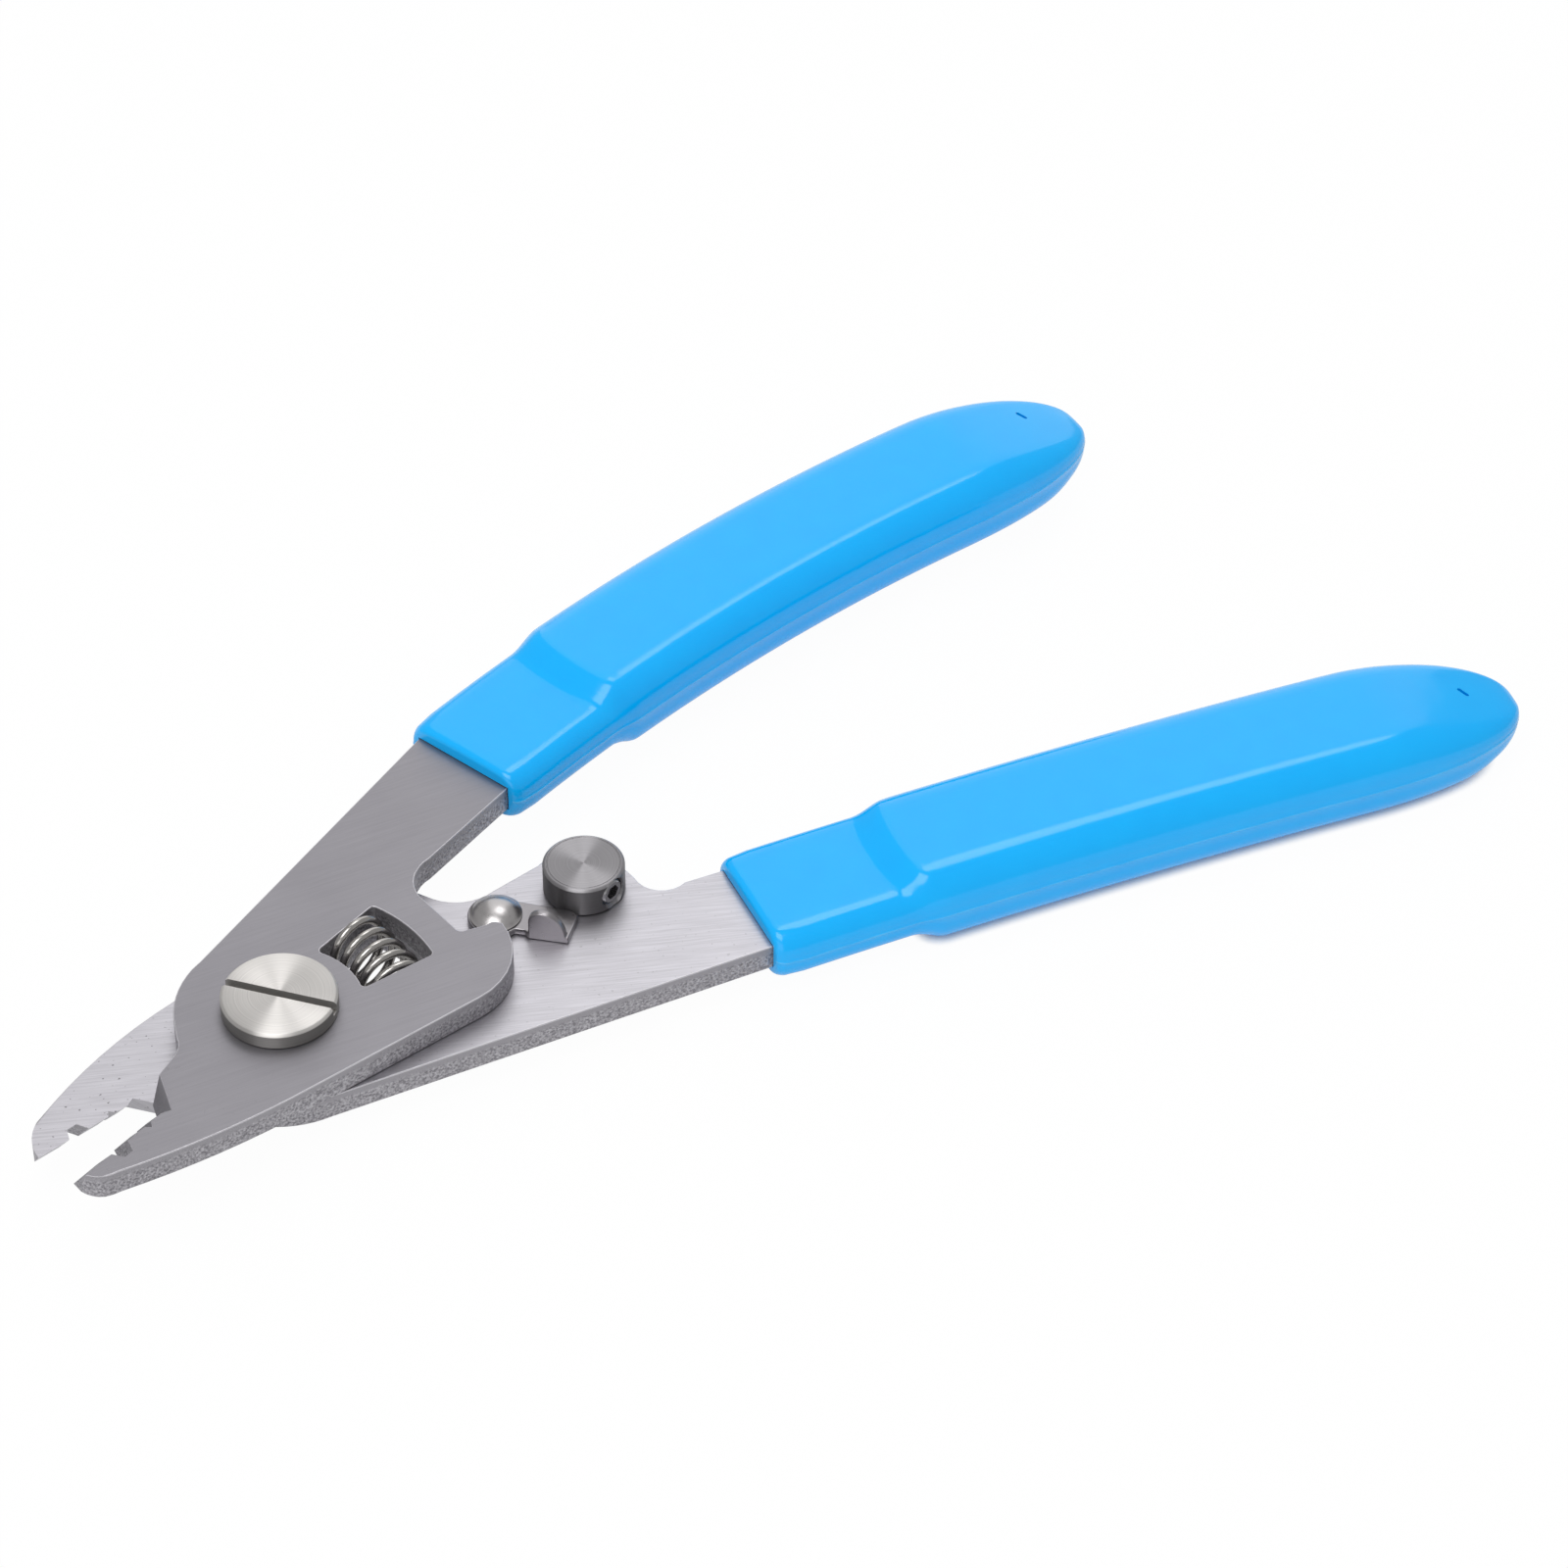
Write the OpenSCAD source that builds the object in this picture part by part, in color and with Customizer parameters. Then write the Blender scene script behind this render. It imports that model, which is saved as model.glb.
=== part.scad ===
// Three-notch fibre stripper: two steel levers on a shoulder screw, a return spring held in
// the windows of both levers, a swinging latch, an eccentric closing stop and two moulded grips.
// The origin is on the pivot axis, at the level on which the tool lies. +X runs along the tool
// towards the grip ends, +Z points out of the screw head, and the handles stand open.

/* [Levers] */
// Thickness of each lever plate
plate_t = 3; // [2.6:0.1:3.2]
// Running gap between the two plates
plate_gap = 0.05; // [0.03:0.01:0.1]
// Radius of the round lever heads about the pivot
head_r = 11; // [10.6:0.1:11.4]
// Width of each tang at the mouth of its grip
tang_w = 12.4; // [11:0.1:13]
// Distance from the pivot to the jaw tips
jaw_reach = 28.7; // [27.5:0.1:29.5]
// Radius of the ear that the latch holds
ear_r = 8; // [7.6:0.1:8.2]

/* [Cutting edges] */
// Angle between the two cutting edges with the handles open
edge_open = 10.25; // [9:0.25:12]
// Direction of the fixed cutting edge
edge_dir = 3; // [2:0.5:4]
// Distance of both cutting edges from the pivot axis
edge_offset = 1.5; // [1.2:0.1:1.8]
// Set-back of the bevel over the thickness of a plate
bevel_back = 2.3; // [1.5:0.1:2.8]
// Distance from the pivot to the inner end of the edges
throat_r = 17; // [16.5:0.1:17.4]
// Angle of the relief wall to the cutting edge
relief_angle = 57; // [50:1:62]
// Distance from the buffer notch to the jacket notch
jacket_notch_step = 4; // [3.4:0.1:4.4]
// Width of the jacket notch
jacket_notch_w = 2.4; // [1.8:0.1:2.8]
// Depth of the jacket notch
jacket_notch_d = 1.3; // [0.8:0.1:1.6]
// Distance from the inner end of the edges to the buffer notch
buffer_notch_step = 3.1; // [2.6:0.1:3.6]
// Width of the buffer notch
buffer_notch_w = 0.95; // [0.6:0.05:1.2]
// Depth of the buffer notch
buffer_notch_d = 0.65; // [0.4:0.05:0.9]
// Width of the coating notch at the inner end of the edge
coating_notch_w = 1; // [0.6:0.1:1.2]
// Depth of the coating notch
coating_notch_d = 0.5; // [0.3:0.05:0.7]

/* [Pivot screw and nut] */
// Diameter of the screw head
screw_head_d = 12; // [11:0.1:12.8]
// Height of the screw head
screw_head_h = 1.9; // [1.5:0.1:2.4]
// Chamfer round the screw head
screw_chamfer = 0.3; // [0.1:0.05:0.5]
// Width of the driver slot
slot_w = 0.9; // [0.6:0.1:1.4]
// Depth of the driver slot
slot_d = 1.1; // [0.7:0.1:1.3]
// Direction of the driver slot
slot_dir = -54.6; // [-90:0.2:90]
// Diameter of the shoulder that carries the moving lever
shoulder_d = 8; // [7:0.1:9]
// Thread diameter
thread_d = 6; // [5:0.5:6]
// Width of the nut across its flats
nut_af = 10; // [9:0.5:11]
// Height of the thin nut
nut_h = 3; // [2.4:0.1:3.1]
// Radial clearance of every turning fit
turn_clear = 0.05; // [0.02:0.01:0.1]
// Radial clearance of every fixed fit
fixed_clear = 0.02; // [0.01:0.01:0.04]

/* [Window and return spring] */
// Radius of the window's inner wall
window_r1 = 8.6; // [8.2:0.1:8.8]
// Radius of the window's outer wall
window_r2 = 16.9; // [16.2:0.1:17.4]
// Direction of the window's middle from the pivot
window_dir = 5.2; // [4:0.2:6.4]
// Distance between the window's end walls, on the spring's axis
window_len = 8.4; // [7.4:0.1:8.8]
// Lean of each end wall
window_lean = 8; // [6:0.5:9]
// Radius of the window's corners
window_corner_r = 0.5; // [0.2:0.1:0.6]
// Room between the return spring and the window's inner and outer walls
spring_room = 0.55; // [0.45:0.05:0.8]
// Diameter of the spring wire
wire_d = 0.9; // [0.7:0.05:1]
// Number of turns
spring_turns = 4.5; // [3.5:0.5:5.5]
// Gap at each end of the spring
spring_gap = 0.1; // [0.05:0.01:0.2]

/* [Latch and rivet] */
// Distance of the latch rivet from the pivot, along the tool
rivet_x = 26.2; // [26:0.1:26.4]
// Sideways place of the latch rivet
rivet_y = -0.75; // [-0.9:0.05:-0.6]
// Shank diameter of the rivet
rivet_d = 3; // [2.4:0.1:3.4]
// Diameter of the domed rivet head
dome_d = 5.5; // [5:0.1:5.6]
// Height of the domed rivet head
dome_h = 1.3; // [1:0.1:1.6]
// Thickness of the latch's sheet
latch_t = 0.8; // [0.6:0.05:1]
// Outer radius of the latch's eye
eye_r = 2.95; // [2.8:0.05:3]
// Length of the latch from its rivet to its end
latch_len = 8.4; // [7.8:0.1:8.5]
// Width of the latch's arm
latch_w = 4.1; // [3.4:0.1:4.2]
// Direction of the latch's arm with the handles open
latch_dir = -49; // [-52:1:-48]
// Height of the latch's thumb tab
tab_h = 2.9; // [2:0.1:3.2]
// Length of the latch's thumb tab
tab_len = 3.9; // [3:0.1:4.2]

/* [Closing stop] */
// Distance of the stop post from the pivot, along the tool
post_x = 36.1; // [35.8:0.1:36.6]
// Sideways place of the stop post
post_y = -1.7; // [-2:0.1:-1.6]
// Diameter of the stop post
post_d = 4; // [3.6:0.1:4.2]
// Diameter of the stop collar
collar_d = 8.6; // [8:0.1:8.7]
// Height of the stop collar
collar_h = 3.5; // [3.2:0.1:4]
// Distance from the collar's middle to the post's
collar_throw = 0.8; // [0.3:0.05:0.85]
// Chamfer round the top of the collar
collar_chamfer = 0.25; // [0.1:0.05:0.4]
// Rim of the lever's boss outside the collar's widest reach
boss_rim = 0.05; // [0:0.05:0.2]
// Thread diameter of the set screw
set_screw_d = 3; // [2.5:0.5:3]
// Width of the set screw's hexagon socket across its flats
set_socket_af = 1.5; // [1.3:0.1:1.5]
// Direction in which the set screw faces
set_screw_dir = -78; // [-90:1:-70]

/* [Grips] */
// Length of each grip
grip_len = 89.5; // [84:0.5:94]
// Width of the grip's body
grip_w = 16.6; // [16:0.1:18]
// Thickness of the grip's body
grip_t = 9.6; // [8.8:0.1:11]
// Wall of the grip's neck round the tang
neck_wall = 1.7; // [1.3:0.1:1.8]
// Length of the grip's neck
neck_len = 15.5; // [13:0.5:19]
// Length of the shoulder between neck and body
shoulder_len = 4; // [3:0.5:6]
// Radius of the grip's upper long edges
grip_edge_r = 3.8; // [3:0.1:4.2]
// Radius of the grip's lower long edges
grip_foot_r = 3.4; // [2.4:0.1:3.6]
// Length of the rounded end
cap_len = 21; // [16:0.5:24]
// Length over which the top slopes down to the grip's end
slope_len = 18; // [14:0.5:20]
// How far the top slopes down
slope_drop = 2.6; // [1.6:0.1:3]
// Clearance between tang and grip
grip_clear = 0.1; // [0.05:0.01:0.15]
// How far the tang stops short of the grip's end
tang_short = 9; // [8:0.5:12]

/* [Hidden] */
$fn = 64;

// Levels of the two plates: the lower grip lies on z = 0 and is centred on its plate.
lower_z = grip_t / 2 - plate_t / 2;
parting_z = lower_z + plate_t;
upper_z = parting_z + plate_gap;
upper_top_z = upper_z + plate_t;

// Each tang's middle line starts at the grip's mouth: [x, y, direction, turn over its length].
upper_line = [35.5, 18, 13, -20.4];
lower_line = [47.8, -15.4, -13, -6];

bevel_tilt = atan(bevel_back / plate_t);
spring_r = (window_r1 + window_r2) / 2 - spring_gap;
boss_r = collar_d / 2 + collar_throw + boss_rim;
collar_gap = 0.1;
spring_d = window_r2 - window_r1 - 2 * spring_room;
spring_tilt = 12;
collar_roof = 0.5;
mouth_rim = 1.6;
mouth_corner = 2.6;
tip_len = 9;
steps = 8;

// A point at a radius and an angle from a middle.
function polar(r, a, c = [0, 0]) = c + r * [cos(a), sin(a)];

// The points of an arc about c, from angle a0 to angle a1.
function arc(c, r, a0, a1, n = steps) = [for (i = [0 : n]) polar(r, a0 + (a1 - a0) * i / n, c)];

// The points of the arc from p to q that rises by h to the right of the way.
function bow(p, q, h, n = steps) =
    let (d = q - p, l = norm(d), r = (l * l / 4 + h * h) / (2 * abs(h)),
         side = sign(h) * [d[1], -d[0]] / l, c = (p + q) / 2 + side * (abs(h) - r),
         a0 = atan2(p[1] - c[1], p[0] - c[0]), half = sign(h) * asin(min(1, l / 2 / r)))
    [for (i = [0 : n]) polar(r, a0 + 2 * half * i / n, c)];

// The direction and the place of a tang's middle line at the distance s from the mouth.
function line_dir(line, s) = line[2] + line[3] * s / grip_len;
function line_at(line, s) =
    let (r = grip_len / line[3] * 180 / PI, a = line_dir(line, s))
    [line[0] + r * (sin(a) - sin(line[2])), line[1] - r * (cos(a) - cos(line[2]))];
function beside(line, s, side) = polar(side, line_dir(line, s) + 90, line_at(line, s));

// The outline of a tang, from its right side at the distance s0 from the mouth round to its left.
function tang(line, w, len, s0 = 0) =
    let (r = w / 2, s1 = len - r, n = 10)
    concat([for (i = [0 : n]) beside(line, s0 + (s1 - s0) * i / n, -r)],
           arc(line_at(line, s1), r, line_dir(line, s1) - 90, line_dir(line, s1) + 90),
           [for (i = [n : -1 : 0]) beside(line, s0 + (s1 - s0) * i / n, r)]);

// ---- Levers ----

// The material that is cut away in front of a cutting edge, seen along the bevel.
// X runs back along the edge, and the lever lies on the +Y side.
function gap_outline() =
    let (reach = 12, bn = throat_r + buffer_notch_step, bw = buffer_notch_w / 2,
         jn = bn + jacket_notch_step, jw = jacket_notch_w / 2, root = -throat_r - coating_notch_w * 0.2,
         run = reach + coating_notch_d)
    [[-jaw_reach - 6, -reach], [-jaw_reach - 6, 0],
     [-jn - jw, 0], [-jn - jw / 2, jacket_notch_d], [-jn + jw / 2, jacket_notch_d], [-jn + jw, 0],
     [-bn - bw, 0], [-bn, buffer_notch_d], [-bn + bw, 0],
     [root - coating_notch_w, 0], [root, coating_notch_d],
     [root + run / tan(relief_angle), -reach]];

// Cuts the edge, its three notches and the relief wall in one sweep along the bevel.
module jaw_cut() {
    rotate([bevel_tilt, 0, 0])
        linear_extrude(height = 8 * plate_t, center = true)
            scale([1, cos(bevel_tilt)]) polygon(gap_outline());
}

// The opening that holds the return spring, the same in both levers.
module window() {
    half_in = window_len / 2 + (window_r1 - spring_r) * tan(window_lean);
    half_out = window_len / 2 + (window_r2 - spring_r) * tan(window_lean);
    a_in = asin(half_in / window_r1);
    a_out = asin(half_out / window_r2);
    rotate(window_dir) offset(r = window_corner_r) offset(delta = -window_corner_r)
        polygon(concat(arc([0, 0], window_r2, -a_out, a_out), arc([0, 0], window_r1, a_in, -a_in)));
}

function lower_outline() =
    let (tip = polar(jaw_reach + 0.3, 180), post = [post_x, post_y])
    concat(
        bow([-16.5, -2.6], polar(head_r, 218.5), -0.9),
        arc([0, 0], head_r, 222, 262),
        tang(lower_line, tang_w, grip_len - tang_short),
        bow([45, -8.3], [post_x + boss_r, -4.6], -1.5),
        arc(post, boss_r, 0, 110),
        bow([28.4, 2.95], [22.9, 5.8], -1),
        bow([22.1, 7.6], [17, head_r], 1.2),
        bow([9, head_r + 0.2], [-6.7, 9.95], 0.3),
        bow([-6.7, 9.95], [-26, 4.5], 0.9),
        bow([-26, 4.5], tip, 0.8),
        [tip - [0, 4]]);

function upper_outline() =
    let (ear = [24.8 - ear_r, -11.3 + ear_r])
    concat(
        bow([-28.2, -6.4], [-25.2, -8.9], 0.7),
        bow([-25.2, -8.9], [-3.6, -11.2], 0.6),
        arc(ear, ear_r, -90, -6),
        bow([24.5, -3.7], [23.4, -3.25], 0.25, 4),
        bow([21.2, -2.55], [20.5, -1.7], -0.25, 4),
        bow([20.35, 4.4], [24.3, 8.35], -1.05),
        tang(upper_line, tang_w, grip_len - tang_short),
        [[-2.9, 10.36]],
        arc([0, 0], head_r - 0.2, 112, 156),
        bow([-10.6, 2.9], [-12.1, 0.95], -0.25, 4),
        [[-16.5, -1.15], [-28.2, -1.15]]);

module lower_lever() {
    color("gainsboro") difference() {
        translate([0, 0, lower_z]) linear_extrude(height = plate_t) difference() {
            polygon(lower_outline());
            window();
            circle(r = thread_d / 2 + fixed_clear);
            translate([rivet_x, rivet_y]) circle(r = rivet_d / 2 + fixed_clear);
            translate([post_x, post_y]) circle(r = post_d / 2 + fixed_clear);
        }
        translate([0, 0, parting_z]) rotate(edge_dir) translate([0, edge_offset, 0]) jaw_cut();
    }
}

module upper_lever() {
    color("darkgray") difference() {
        translate([0, 0, upper_z]) linear_extrude(height = plate_t) difference() {
            polygon(upper_outline());
            window();
            circle(r = shoulder_d / 2 + turn_clear);
        }
        translate([0, 0, upper_z]) rotate(edge_dir + edge_open) translate([0, edge_offset, 0])
            rotate([180, 0, 0]) jaw_cut();
    }
}

// ---- Pivot ----

module pivot_screw() {
    head_z = upper_top_z + plate_gap;
    color("lightgray") difference() {
        union() {
            cylinder(h = parting_z, r = thread_d / 2);
            translate([0, 0, parting_z]) cylinder(h = head_z - parting_z, r = shoulder_d / 2);
            translate([0, 0, head_z]) rotate_extrude() polygon([
                [0, 0], [screw_head_d / 2, 0], [screw_head_d / 2, screw_head_h - screw_chamfer],
                [screw_head_d / 2 - screw_chamfer, screw_head_h], [0, screw_head_h]]);
        }
        translate([0, 0, head_z + screw_head_h]) rotate(slot_dir)
            cube([screw_head_d + 2, slot_w, 2 * slot_d], center = true);
    }
}

module pivot_nut() {
    color("silver") translate([0, 0, lower_z - nut_h]) difference() {
        intersection() {
            cylinder(h = nut_h, r = nut_af / 2 / cos(30), $fn = 6);
            cylinder(h = nut_h, r1 = nut_af / 2 + 0.2, r2 = nut_af / 2 + 0.2 + nut_h);
        }
        translate([0, 0, -1]) cylinder(h = nut_h + 2, r = thread_d / 2 + fixed_clear);
    }
}

// ---- Return spring ----

// The wire's middle at the share t of its length. The coil fans out with the window's walls, and
// tilts, because its lower end bears on the lower lever and its upper end on the upper one.
function spring_at(t) =
    let (half = window_len / 2 - spring_gap - wire_d / 2, along = (2 * t - 1) * half,
         coil_r = (spring_d - wire_d) / 2, turn = 360 * spring_turns * t,
         out = coil_r * cos(turn), fan = window_lean * (2 * t - 1))
    [spring_r + out * cos(fan), along + out * sin(fan), coil_r * sin(turn) + along * tan(spring_tilt)];

module return_spring() {
    sides = 8;
    rings = ceil(spring_turns * 18);
    points = [for (i = [0 : rings])
        let (t = i / rings, p = spring_at(t), ahead = spring_at(t + 0.001) - spring_at(t - 0.001),
             dir = ahead / norm(ahead), out = cross(dir, [0, 1, 0]), u = out / norm(out), v = cross(dir, u))
        for (k = [0 : sides - 1])
            p + wire_d / 2 * (cos(360 * k / sides) * u + sin(360 * k / sides) * v)];
    faces = concat(
        [[for (k = [0 : sides - 1]) k]],
        [for (i = [0 : rings - 1]) for (k = [0 : sides - 1])
            let (a = i * sides + k, b = i * sides + (k + 1) % sides)
            each [[a, a + sides, b], [b, a + sides, b + sides]]],
        [[for (k = [sides - 1 : -1 : 0]) rings * sides + k]]);
    color("gray") translate([0, 0, parting_z + plate_gap / 2]) rotate(window_dir)
        polyhedron(points = points, faces = faces, convexity = 8);
}

// ---- Latch and its rivet ----

module latch() {
    fold_x = latch_len - 0.6 - tab_len;
    tab_top = 0.35 * tab_len;
    bottom_z = parting_z + plate_gap;
    color("silver") translate([rivet_x, rivet_y, bottom_z]) rotate(latch_dir) {
        difference() {
            linear_extrude(height = latch_t) union() {
                circle(r = eye_r);
                polygon([[0, -1.7], [fold_x - 0.4, -1.7], [fold_x, -latch_w / 2],
                         [latch_len - 0.3, -latch_w / 2], [latch_len, latch_w / 2 - 0.5],
                         [latch_len - 1, latch_w / 2], [1.5, latch_w / 2 + 0.3]]);
            }
            translate([0, 0, -1]) cylinder(h = latch_t + 2, r = rivet_d / 2 + turn_clear);
        }
        translate([fold_x, -latch_w / 2 + latch_t, latch_t]) rotate([90, 0, 0])
            linear_extrude(height = latch_t)
                polygon(concat([[0, 0], [tab_len, 0]],
                    [for (p = arc([0, 0], 1, 0, 90)) [tab_top + (tab_len - tab_top) * p[0], tab_h * p[1]]],
                    [for (p = arc([0, 0], 1, 90, 180))
                        [tab_top + tab_top * p[0], tab_h * (0.55 + 0.45 * p[1])]]));
    }
}

module latch_rivet() {
    seat_z = parting_z + 2 * plate_gap + latch_t;
    sphere_r = (dome_d * dome_d / 4 + dome_h * dome_h) / (2 * dome_h);
    tail_h = 0.6;
    color("gainsboro") translate([rivet_x, rivet_y, 0]) {
        translate([0, 0, lower_z - tail_h]) cylinder(h = tail_h, r = rivet_d / 2 + 1);
        translate([0, 0, lower_z]) cylinder(h = seat_z - lower_z, r = rivet_d / 2);
        translate([0, 0, seat_z]) intersection() {
            cylinder(h = dome_h + 1, r = dome_d / 2);
            translate([0, 0, dome_h - sphere_r]) sphere(r = sphere_r);
        }
    }
}

// ---- Closing stop ----

// Places its children on the post, with X pointing the way the set screw faces.
module at_post(z) {
    translate([post_x, post_y, z]) rotate(set_screw_dir) children();
}

module stop_post() {
    tail_h = 0.6;
    top_z = parting_z + collar_gap + collar_h - collar_roof - collar_gap;
    color("silver") at_post(0) {
        translate([0, 0, lower_z - tail_h]) cylinder(h = tail_h, r = post_d / 2 + 0.8);
        translate([0, 0, lower_z]) cylinder(h = top_z - lower_z, r = post_d / 2);
    }
}

module stop_collar() {
    r = collar_d / 2;
    color("silver") at_post(parting_z + collar_gap) difference() {
        translate([collar_throw, 0, 0]) rotate_extrude() polygon([
            [0, 0], [r, 0], [r, collar_h - collar_chamfer], [r - collar_chamfer, collar_h],
            [0, collar_h]]);
        translate([0, 0, -1]) cylinder(h = collar_h - collar_roof + 1, r = post_d / 2 + turn_clear);
        translate([0, 0, collar_h / 2]) rotate([0, 90, 0])
            cylinder(h = collar_d, r = set_screw_d / 2 + fixed_clear);
    }
}

module stop_set_screw() {
    inner = post_d / 2 + turn_clear;
    len = collar_d / 2 + collar_throw - inner - 0.3;
    color("dimgray") at_post(parting_z + collar_gap + collar_h / 2) rotate([0, 90, 0])
        translate([0, 0, inner]) difference() {
            cylinder(h = len, r = set_screw_d / 2);
            translate([0, 0, len - 1.2]) cylinder(h = 2, r = set_socket_af / 2 / cos(30), $fn = 6);
        }
}

// ---- Grips ----

function ease(u) = let (c = max(0, min(1, u))) c * c * (3 - 2 * c);

// Half the width, the top and the foot of a grip at the distance s from its mouth.
function cap_share(s, len, p) =
    let (u = max(0, (s - grip_len + len) / len)) pow(1 - pow(u, p), 1 / p);
function rim_loss(s, r) = s < r ? r - sqrt(r * r - pow(r - s, 2)) : 0;
function rise(s) = ease((s - neck_len) / shoulder_len);
function half_w(s) =
    let (neck = tang_w / 2 + neck_wall)
    (neck + (grip_w / 2 - neck) * rise(s)) * cap_share(s, cap_len, 2.3) - 0.4 * rim_loss(s, mouth_corner);
function top_z(s) =
    let (neck = plate_t / 2 + neck_wall, drop = slope_drop * ease((s - grip_len + slope_len) / slope_len))
    (neck + (grip_t / 2 - neck) * rise(s) - drop) * cap_share(s, tip_len, 2.2) - 0.6 * rim_loss(s, mouth_rim);
function foot_z(s) =
    let (neck = plate_t / 2 + neck_wall)
    (neck + (grip_t / 2 - neck) * rise(s)) * cap_share(s, tip_len, 2.2) - 0.6 * rim_loss(s, mouth_rim);

// One rounded section of a grip, as points [sideways, up].
function section(s) =
    let (w = half_w(s), t = top_z(s), f = foot_z(s), n = 6,
         rt = min(grip_edge_r, 0.8 * t, 0.8 * w), rf = min(grip_foot_r, 0.8 * f, 0.8 * w))
    [for (q = [0 : 3]) for (i = [0 : n])
        let (sx = (q == 0 || q == 3) ? 1 : -1, r = q < 2 ? rt : rf, z = q < 2 ? t - rt : rf - f)
        [sx * (w - r), z] + polar(r, 90 * q + 90 * i / n)];

module grip_shell(line) {
    cap_from = grip_len - slope_len;
    n_cap = 12;
    stations = concat([0, 0.25, 0.7, mouth_rim, mouth_corner],
        [for (i = [0 : 6]) neck_len + shoulder_len * i / 6],
        [for (i = [1 : 5]) neck_len + shoulder_len + (cap_from - neck_len - shoulder_len) * i / 5],
        [for (i = [1 : n_cap]) cap_from + slope_len * sin(88 * i / n_cap)]);
    rings = [for (s = stations) [for (p = section(s)) concat(beside(line, s, p[0]), p[1])]];
    m = len(rings[0]);
    last = len(rings) - 1;
    faces = concat(
        [[for (k = [0 : m - 1]) k]],
        [for (i = [0 : last - 1]) for (k = [0 : m - 1])
            let (a = i * m + k, b = i * m + (k + 1) % m)
            each [[a, a + m, b], [b, a + m, b + m]]],
        [[for (k = [m - 1 : -1 : 0]) last * m + k]]);
    polyhedron(points = [for (ring = rings) each ring], faces = faces, convexity = 4);
}

// A grip moulded round a tang whose middle plane is at the level z.
module grip(line, z) {
    pocket_t = plate_t + 2 * grip_clear;
    translate([0, 0, z]) difference() {
        grip_shell(line);
        translate([0, 0, -pocket_t / 2]) linear_extrude(height = pocket_t)
            polygon(tang(line, tang_w + 2 * grip_clear, grip_len - tang_short + grip_clear,
                         -grip_clear - 2 * mouth_rim));
    }
}

module lower_grip() {
    color("deepskyblue") grip(lower_line, lower_z + plate_t / 2);
}

module upper_grip() {
    color("deepskyblue") grip(upper_line, upper_z + plate_t / 2);
}

lower_lever();
upper_lever();
lower_grip();
upper_grip();
pivot_screw();
pivot_nut();
return_spring();
latch();
latch_rivet();
stop_post();
stop_collar();
stop_set_screw();
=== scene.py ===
"""Dresses a three-notch fibre stripper: levers, grips, pivot, return spring, latch and stop.

Sizes in the classes are in millimetres, and every mesh is made in metres in the frame of the CAD
model: the origin is on the pivot axis at the level on which the tool lies, +X runs along the tool
to the grip ends and +Z points out of the screw head.
"""

import logging
import math
from dataclasses import dataclass
from enum import Enum
from functools import partial
from typing import Any, Callable, Sequence

import bmesh
import bpy
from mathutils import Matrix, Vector


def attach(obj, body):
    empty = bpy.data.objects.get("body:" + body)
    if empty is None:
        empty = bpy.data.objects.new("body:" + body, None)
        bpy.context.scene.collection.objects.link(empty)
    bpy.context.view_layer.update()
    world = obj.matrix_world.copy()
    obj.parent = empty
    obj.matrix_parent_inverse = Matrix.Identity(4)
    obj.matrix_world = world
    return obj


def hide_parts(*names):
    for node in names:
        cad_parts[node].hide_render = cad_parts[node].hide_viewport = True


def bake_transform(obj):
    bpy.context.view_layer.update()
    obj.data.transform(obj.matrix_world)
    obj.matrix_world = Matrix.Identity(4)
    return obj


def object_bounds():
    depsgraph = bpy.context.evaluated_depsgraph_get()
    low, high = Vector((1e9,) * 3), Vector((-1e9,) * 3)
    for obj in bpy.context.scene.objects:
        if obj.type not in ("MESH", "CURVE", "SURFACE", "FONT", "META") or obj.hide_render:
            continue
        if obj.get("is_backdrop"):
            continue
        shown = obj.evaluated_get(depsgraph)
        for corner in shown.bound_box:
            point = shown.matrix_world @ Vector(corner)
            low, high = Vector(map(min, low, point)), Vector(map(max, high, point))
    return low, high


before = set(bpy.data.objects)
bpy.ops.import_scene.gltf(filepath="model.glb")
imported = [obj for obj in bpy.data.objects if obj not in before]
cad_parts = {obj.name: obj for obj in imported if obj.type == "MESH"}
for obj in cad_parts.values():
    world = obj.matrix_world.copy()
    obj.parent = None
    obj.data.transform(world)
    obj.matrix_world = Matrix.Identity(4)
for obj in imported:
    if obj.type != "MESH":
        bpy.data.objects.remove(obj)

LOG = logging.getLogger("fibre_stripper")
MM = 0.001
MERGE_BELOW = 1e-6  # corners of a CAD mesh nearer than this, in metres, are one corner
FLAT_BELOW = 0.4  # faces that meet at less than this angle, in degrees, are one flat face
SMOOTH_BELOW = 50.0  # moulded and bevelled pieces are shaded smooth below this angle, in degrees
NOISE_SPAN = (0.3, 0.7)  # nearly all values of a noise texture lie between these


class Body(Enum):
    """The rigid bodies of the tool."""

    FIXED = "fixed_handle"
    MOVING = "moving_handle"
    LATCH = "latch_arm"
    STOP = "stop"


class Slot(Enum):
    """The material slots of the part's record."""

    LOWER_STEEL = "lower_steel"
    UPPER_STEEL = "upper_steel"
    GRIP = "grip"
    TURNED = "turned_steel"
    HARDWARE = "hardware_steel"
    SPRING = "spring_steel"
    NICKEL = "nickel"


# ---- Small helpers ----


def linear(colour: str) -> tuple[float, float, float, float]:
    """Turns an sRGB hex colour into linear RGBA.

    Args:
        colour: The colour, as "#rrggbb".

    Returns:
        The linear colour with an alpha of 1.
    """
    shares = [int(colour[i : i + 2], 16) / 255 for i in (1, 3, 5)]
    return (*[s / 12.92 if s <= 0.04045 else ((s + 0.055) / 1.055) ** 2.4 for s in shares], 1.0)


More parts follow.
